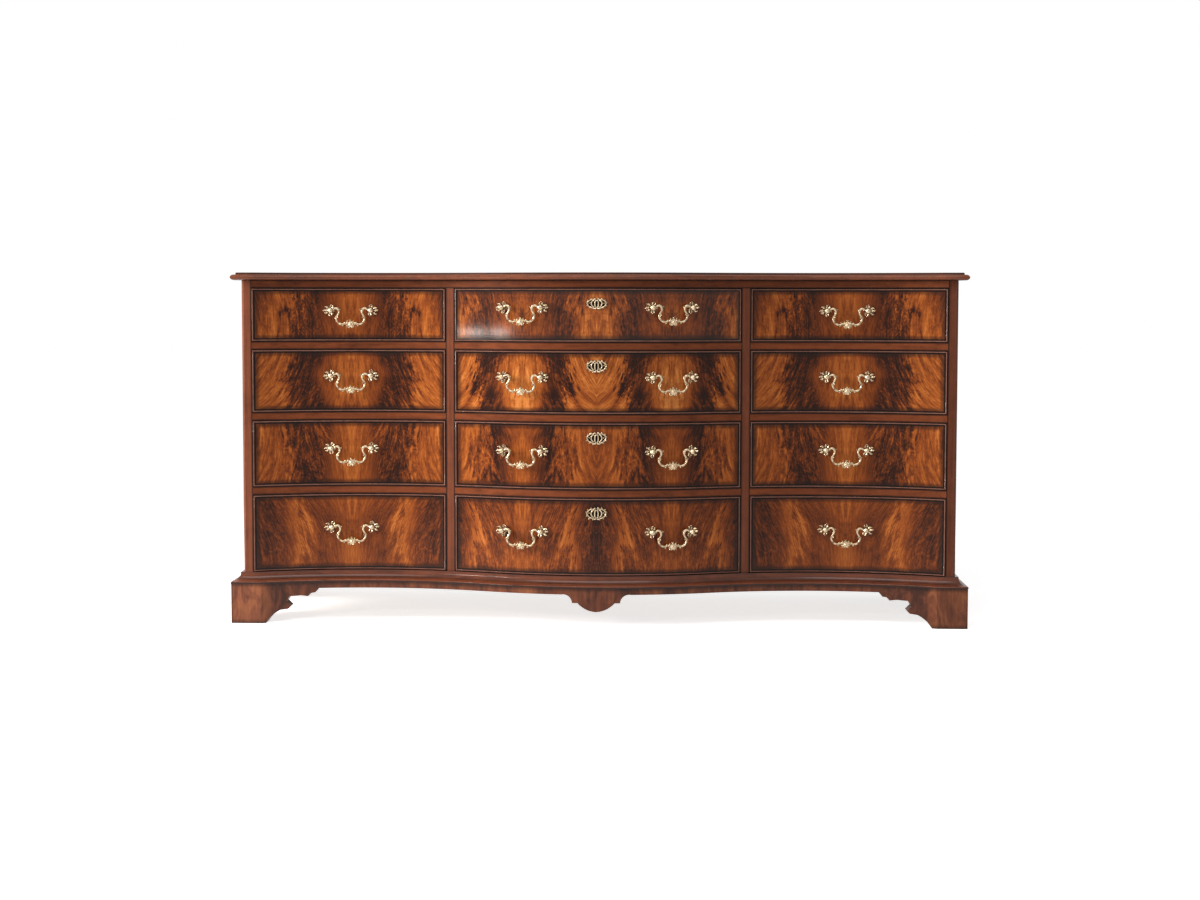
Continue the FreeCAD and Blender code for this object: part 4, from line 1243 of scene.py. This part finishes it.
# %% Keyholes, painted gap shade and locks
keyhole_round, keyhole_slot, keyhole_drop = 0.0029, 0.0042, 0.0088
gap_shade_reach, gap_shade_rise = 0.0232, 0.0112
escutcheon_drop = 0.040
lock_half_width, lock_height, lock_depth = 0.030, 0.054, 0.009
lock_inset, lock_bevel = 0.0012, 0.0006
lock_rubbed_from, lock_rubbed_to = 0.016, 0.004


def keyhole_outline(count=24):
    """Points round the keyhole, from the slot's lower right corner."""
    half = keyhole_slot / 2
    start = math.asin(half / keyhole_round)
    path = [(half, -keyhole_drop), (half, -keyhole_drop * 0.6)]
    for turn in steps(start - math.pi / 2, 1.5 * math.pi - start, count - 4):
        path.append((keyhole_round * math.cos(turn), keyhole_round * math.sin(turn)))
    return path + [(-half, -keyhole_drop)]


# The keyhole is a dark plate: painted shade inside the hole.
keyhole_shape = skin([[(x, y, height) for x, y in keyhole_outline()] for height in (0.0001, 0.0005)])
keyhole_mesh = worn_mesh("keyhole", keyhole_shape, painted_shade_black, 0.0, 1.0)
# A dark plate under the escutcheon: painted shade in its gaps.
gap_shade_turns = steps(0.0, 2 * math.pi, 40)[:-1]
gap_shade_outline = [(gap_shade_reach * math.cos(turn), gap_shade_rise * math.sin(turn)) for turn in gap_shade_turns]
gap_shade_shape = skin([[(x, y, height) for x, y in gap_shade_outline] for height in (0.0, 0.0003)])
gap_shade_mesh = worn_mesh("painted_shade_in_gaps", gap_shade_shape, painted_shade_black, 0.0, 1.0)
locks = []
for row, (z0, z1) in rows.items():
    body = f"drawer_{row}_middle"
    place = stand_at(Vector((0.0, front_y(0.0), z1 - escutcheon_drop)), Vector((0, -1, 0)))
    fitted = Matrix.Diagonal((1, 0.94 if row == "top" else 1.06, 1, 1))
    set_down(f"escutcheon_{row}", escutcheon_mesh, body, (), place @ fitted)
    set_down(f"keyhole_{row}", keyhole_mesh, body, (), place)
    set_down(f"gap_shade_{row}", gap_shade_mesh, body, (), place @ fitted)
    high, back = z1 - front_gap, front_y(0.0) + front_thickness
    loops = []
    for inset, y in ((lock_inset, back), (0.0, back - lock_bevel), (0.0, back - lock_depth)):
        right, lowest, highest = lock_half_width - inset, high - lock_height + inset, high - inset
        loops.append([(-right, y, lowest), (right, y, lowest), (right, y, highest), (-right, y, highest)])
    lock = make_piece(f"lock_{row}", skin(loops), brass, body)
    mark_worn(lock.data, back - lock_rubbed_from, back - lock_rubbed_to, 1)
    locks.append(lock)
print("locks fitted:", len(locks))

# %% [markdown]
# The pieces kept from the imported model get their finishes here. Panels and partitions are upright boards,
# so they take upright grain, and the frames and boxes take raw poplar. Their shapes stay as they are.

# %% Finishes on the case and the boxes
packed_finishes = {
    "side_panels": upright_mahogany,
    "partitions": upright_mahogany,
    "back_panel": back_wood,
    "web_frames": box_wood,
    "bracket_base": foot_mahogany,
}
for row in rows:
    for column in columns:
        packed_finishes[f"drawer_box_{row}_{column}"] = box_wood
for node, finish in packed_finishes.items():
    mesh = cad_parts[node].data
    mesh.materials.clear()
    mesh.materials.append(finish)
print("packed pieces finished:", len(packed_finishes))

# %% [markdown]
# A plain pale floor stands in for the studio's sweep. It glows only for the camera and for polished
# faces, which see a white surround, and it fades out at a distance, so no horizon shows. The light that
# falls on the dresser doesn't change with that glow, and the shadow under the feet stays.

# %% Floor and surround
floor_half, floor_glow, ambient = 4.0, 0.74, 0.24


def seen_directly(tree):
    """1 for the camera, and for what a polished face mirrors; 0 for light on a face."""
    rays = tree.nodes.new("ShaderNodeLightPath")
    seen = sums(tree, "ADD", rays.outputs["Is Camera Ray"], rays.outputs["Is Glossy Ray"])
    return sums(tree, "MINIMUM", sums(tree, "ADD", seen, rays.outputs["Is Transmission Ray"]), 1.0)


def pale_floor():
    material, tree, shader = new_finish("pale_floor")
    x, y, z = place_in_piece(tree)
    squares = sums(tree, "ADD", sums(tree, "MULTIPLY", x, x), sums(tree, "MULTIPLY", y, y))
    distance = sums(tree, "DIVIDE", sums(tree, "SQRT", squares), floor_half)
    tree.links.new(ramp(tree, distance, [(0.35, 1.0), (0.75, 0.0)], True), shader.inputs["Alpha"])
    glow = sums(tree, "MULTIPLY", seen_directly(tree), floor_glow)
    tree.links.new(glow, shader.inputs["Emission Strength"])
    shader.inputs["Emission Color"].default_value = (1, 1, 1, 1)
    shader.inputs["Base Color"].default_value = (0.92, 0.92, 0.92, 1)
    shader.inputs["Roughness"].default_value = 0.9
    shader.inputs["Specular IOR Level"].default_value = 0.0
    return material


floor_mesh = bpy.data.meshes.new("floor")
floor_corners = [(x * floor_half, y * floor_half, 0) for x, y in ((-1, -1), (1, -1), (1, 1), (-1, 1))]
floor_mesh.from_pydata(floor_corners, [], [(0, 1, 2, 3)])
floor_mesh.materials.append(pale_floor())
floor = bpy.data.objects.new("floor", floor_mesh)
bpy.context.scene.collection.objects.link(floor)

world = bpy.data.worlds.new("surround")
bpy.context.scene.world = world
world.use_nodes = True
background = world.node_tree.nodes["Background"]
brightness = sums(world.node_tree, "MULTIPLY_ADD", seen_directly(world.node_tree), 1.0 - ambient, ambient)
world.node_tree.links.new(brightness, background.inputs["Strength"])
background.inputs["Color"].default_value = (1, 1, 1, 1)
print("floor, m across:", 2 * floor_half, "and the surround's share of the light:", ambient)

# %% [markdown]
# Three lamps light the dresser. A tall one at the left does most of the work and models the curve of the
# front. A wide one, high in front, lights the top and fills the far side. A small warm one, in front and to
# the left, is what the polished hollow on the top middle drawer mirrors as a satin streak.

# %% Lamps


def soft_lamp(name, spot, aim, size, power, colour=(1, 1, 1)):
    """A rectangular lamp at a spot, turned towards its aim."""
    data = bpy.data.lights.new(name, "AREA")
    data.shape = "RECTANGLE"
    data.size, data.size_y = size
    data.energy = power
    data.color = colour
    lamp = bpy.data.objects.new(name, data)
    lamp.location = spot
    lamp.rotation_euler = (Vector(aim) - Vector(spot)).to_track_quat("-Z", "Y").to_euler()
    bpy.context.scene.collection.objects.link(lamp)
    return lamp


lamps = [
    soft_lamp("key", (-2.50, -3.06, 1.52), (-0.3, -0.2, 0.80), (0.36, 0.17), 20, (1.0, 0.93, 0.86)),
    soft_lamp("side", (-3.8, -0.95, 1.5), (0, -0.2, 0.5), (1.0, 1.5), 282),
    soft_lamp("high", (-0.3, -2.6, 3.8), (0.2, 0, 0.40), (3.0, 1.6), 68),
]
print("lamps, W:", {lamp.name: lamp.data.energy for lamp in lamps})

# %% [markdown]
# The camera stands in front of the dresser, a little to its right and just under its top, and looks
# slightly down. The rest of the framing comes from shifting the lens, as with a studio camera, so that
# the uprights stay nearly parallel.

# %% Camera
yaw, pitch, roll = -0.0402, 0.0555, 0.0009
forward = Vector((math.sin(yaw) * math.cos(pitch), math.cos(yaw) * math.cos(pitch), -math.sin(pitch)))
right = Vector((math.cos(yaw), -math.sin(yaw), 0))
up = right.cross(forward)
right_rolled = right * math.cos(roll) + up * math.sin(roll)
up_rolled = right_rolled.cross(forward)
camera_data = bpy.data.cameras.new("camera")
camera_data.sensor_width = 36.0
camera_data.lens = 52.54
camera_data.shift_x = 0.01375
camera_data.shift_y = -0.0428
camera = bpy.data.objects.new("camera", camera_data)
camera.matrix_world = Matrix((right_rolled, up_rolled, -forward)).transposed().to_4x4()
camera.location = (0.147, -4.7392, 0.841)
bpy.context.scene.collection.objects.link(camera)
bpy.context.scene.camera = camera
bpy.context.scene.view_settings.view_transform = "Standard"
print("camera stands at, m:", [round(value, 3) for value in camera.location])
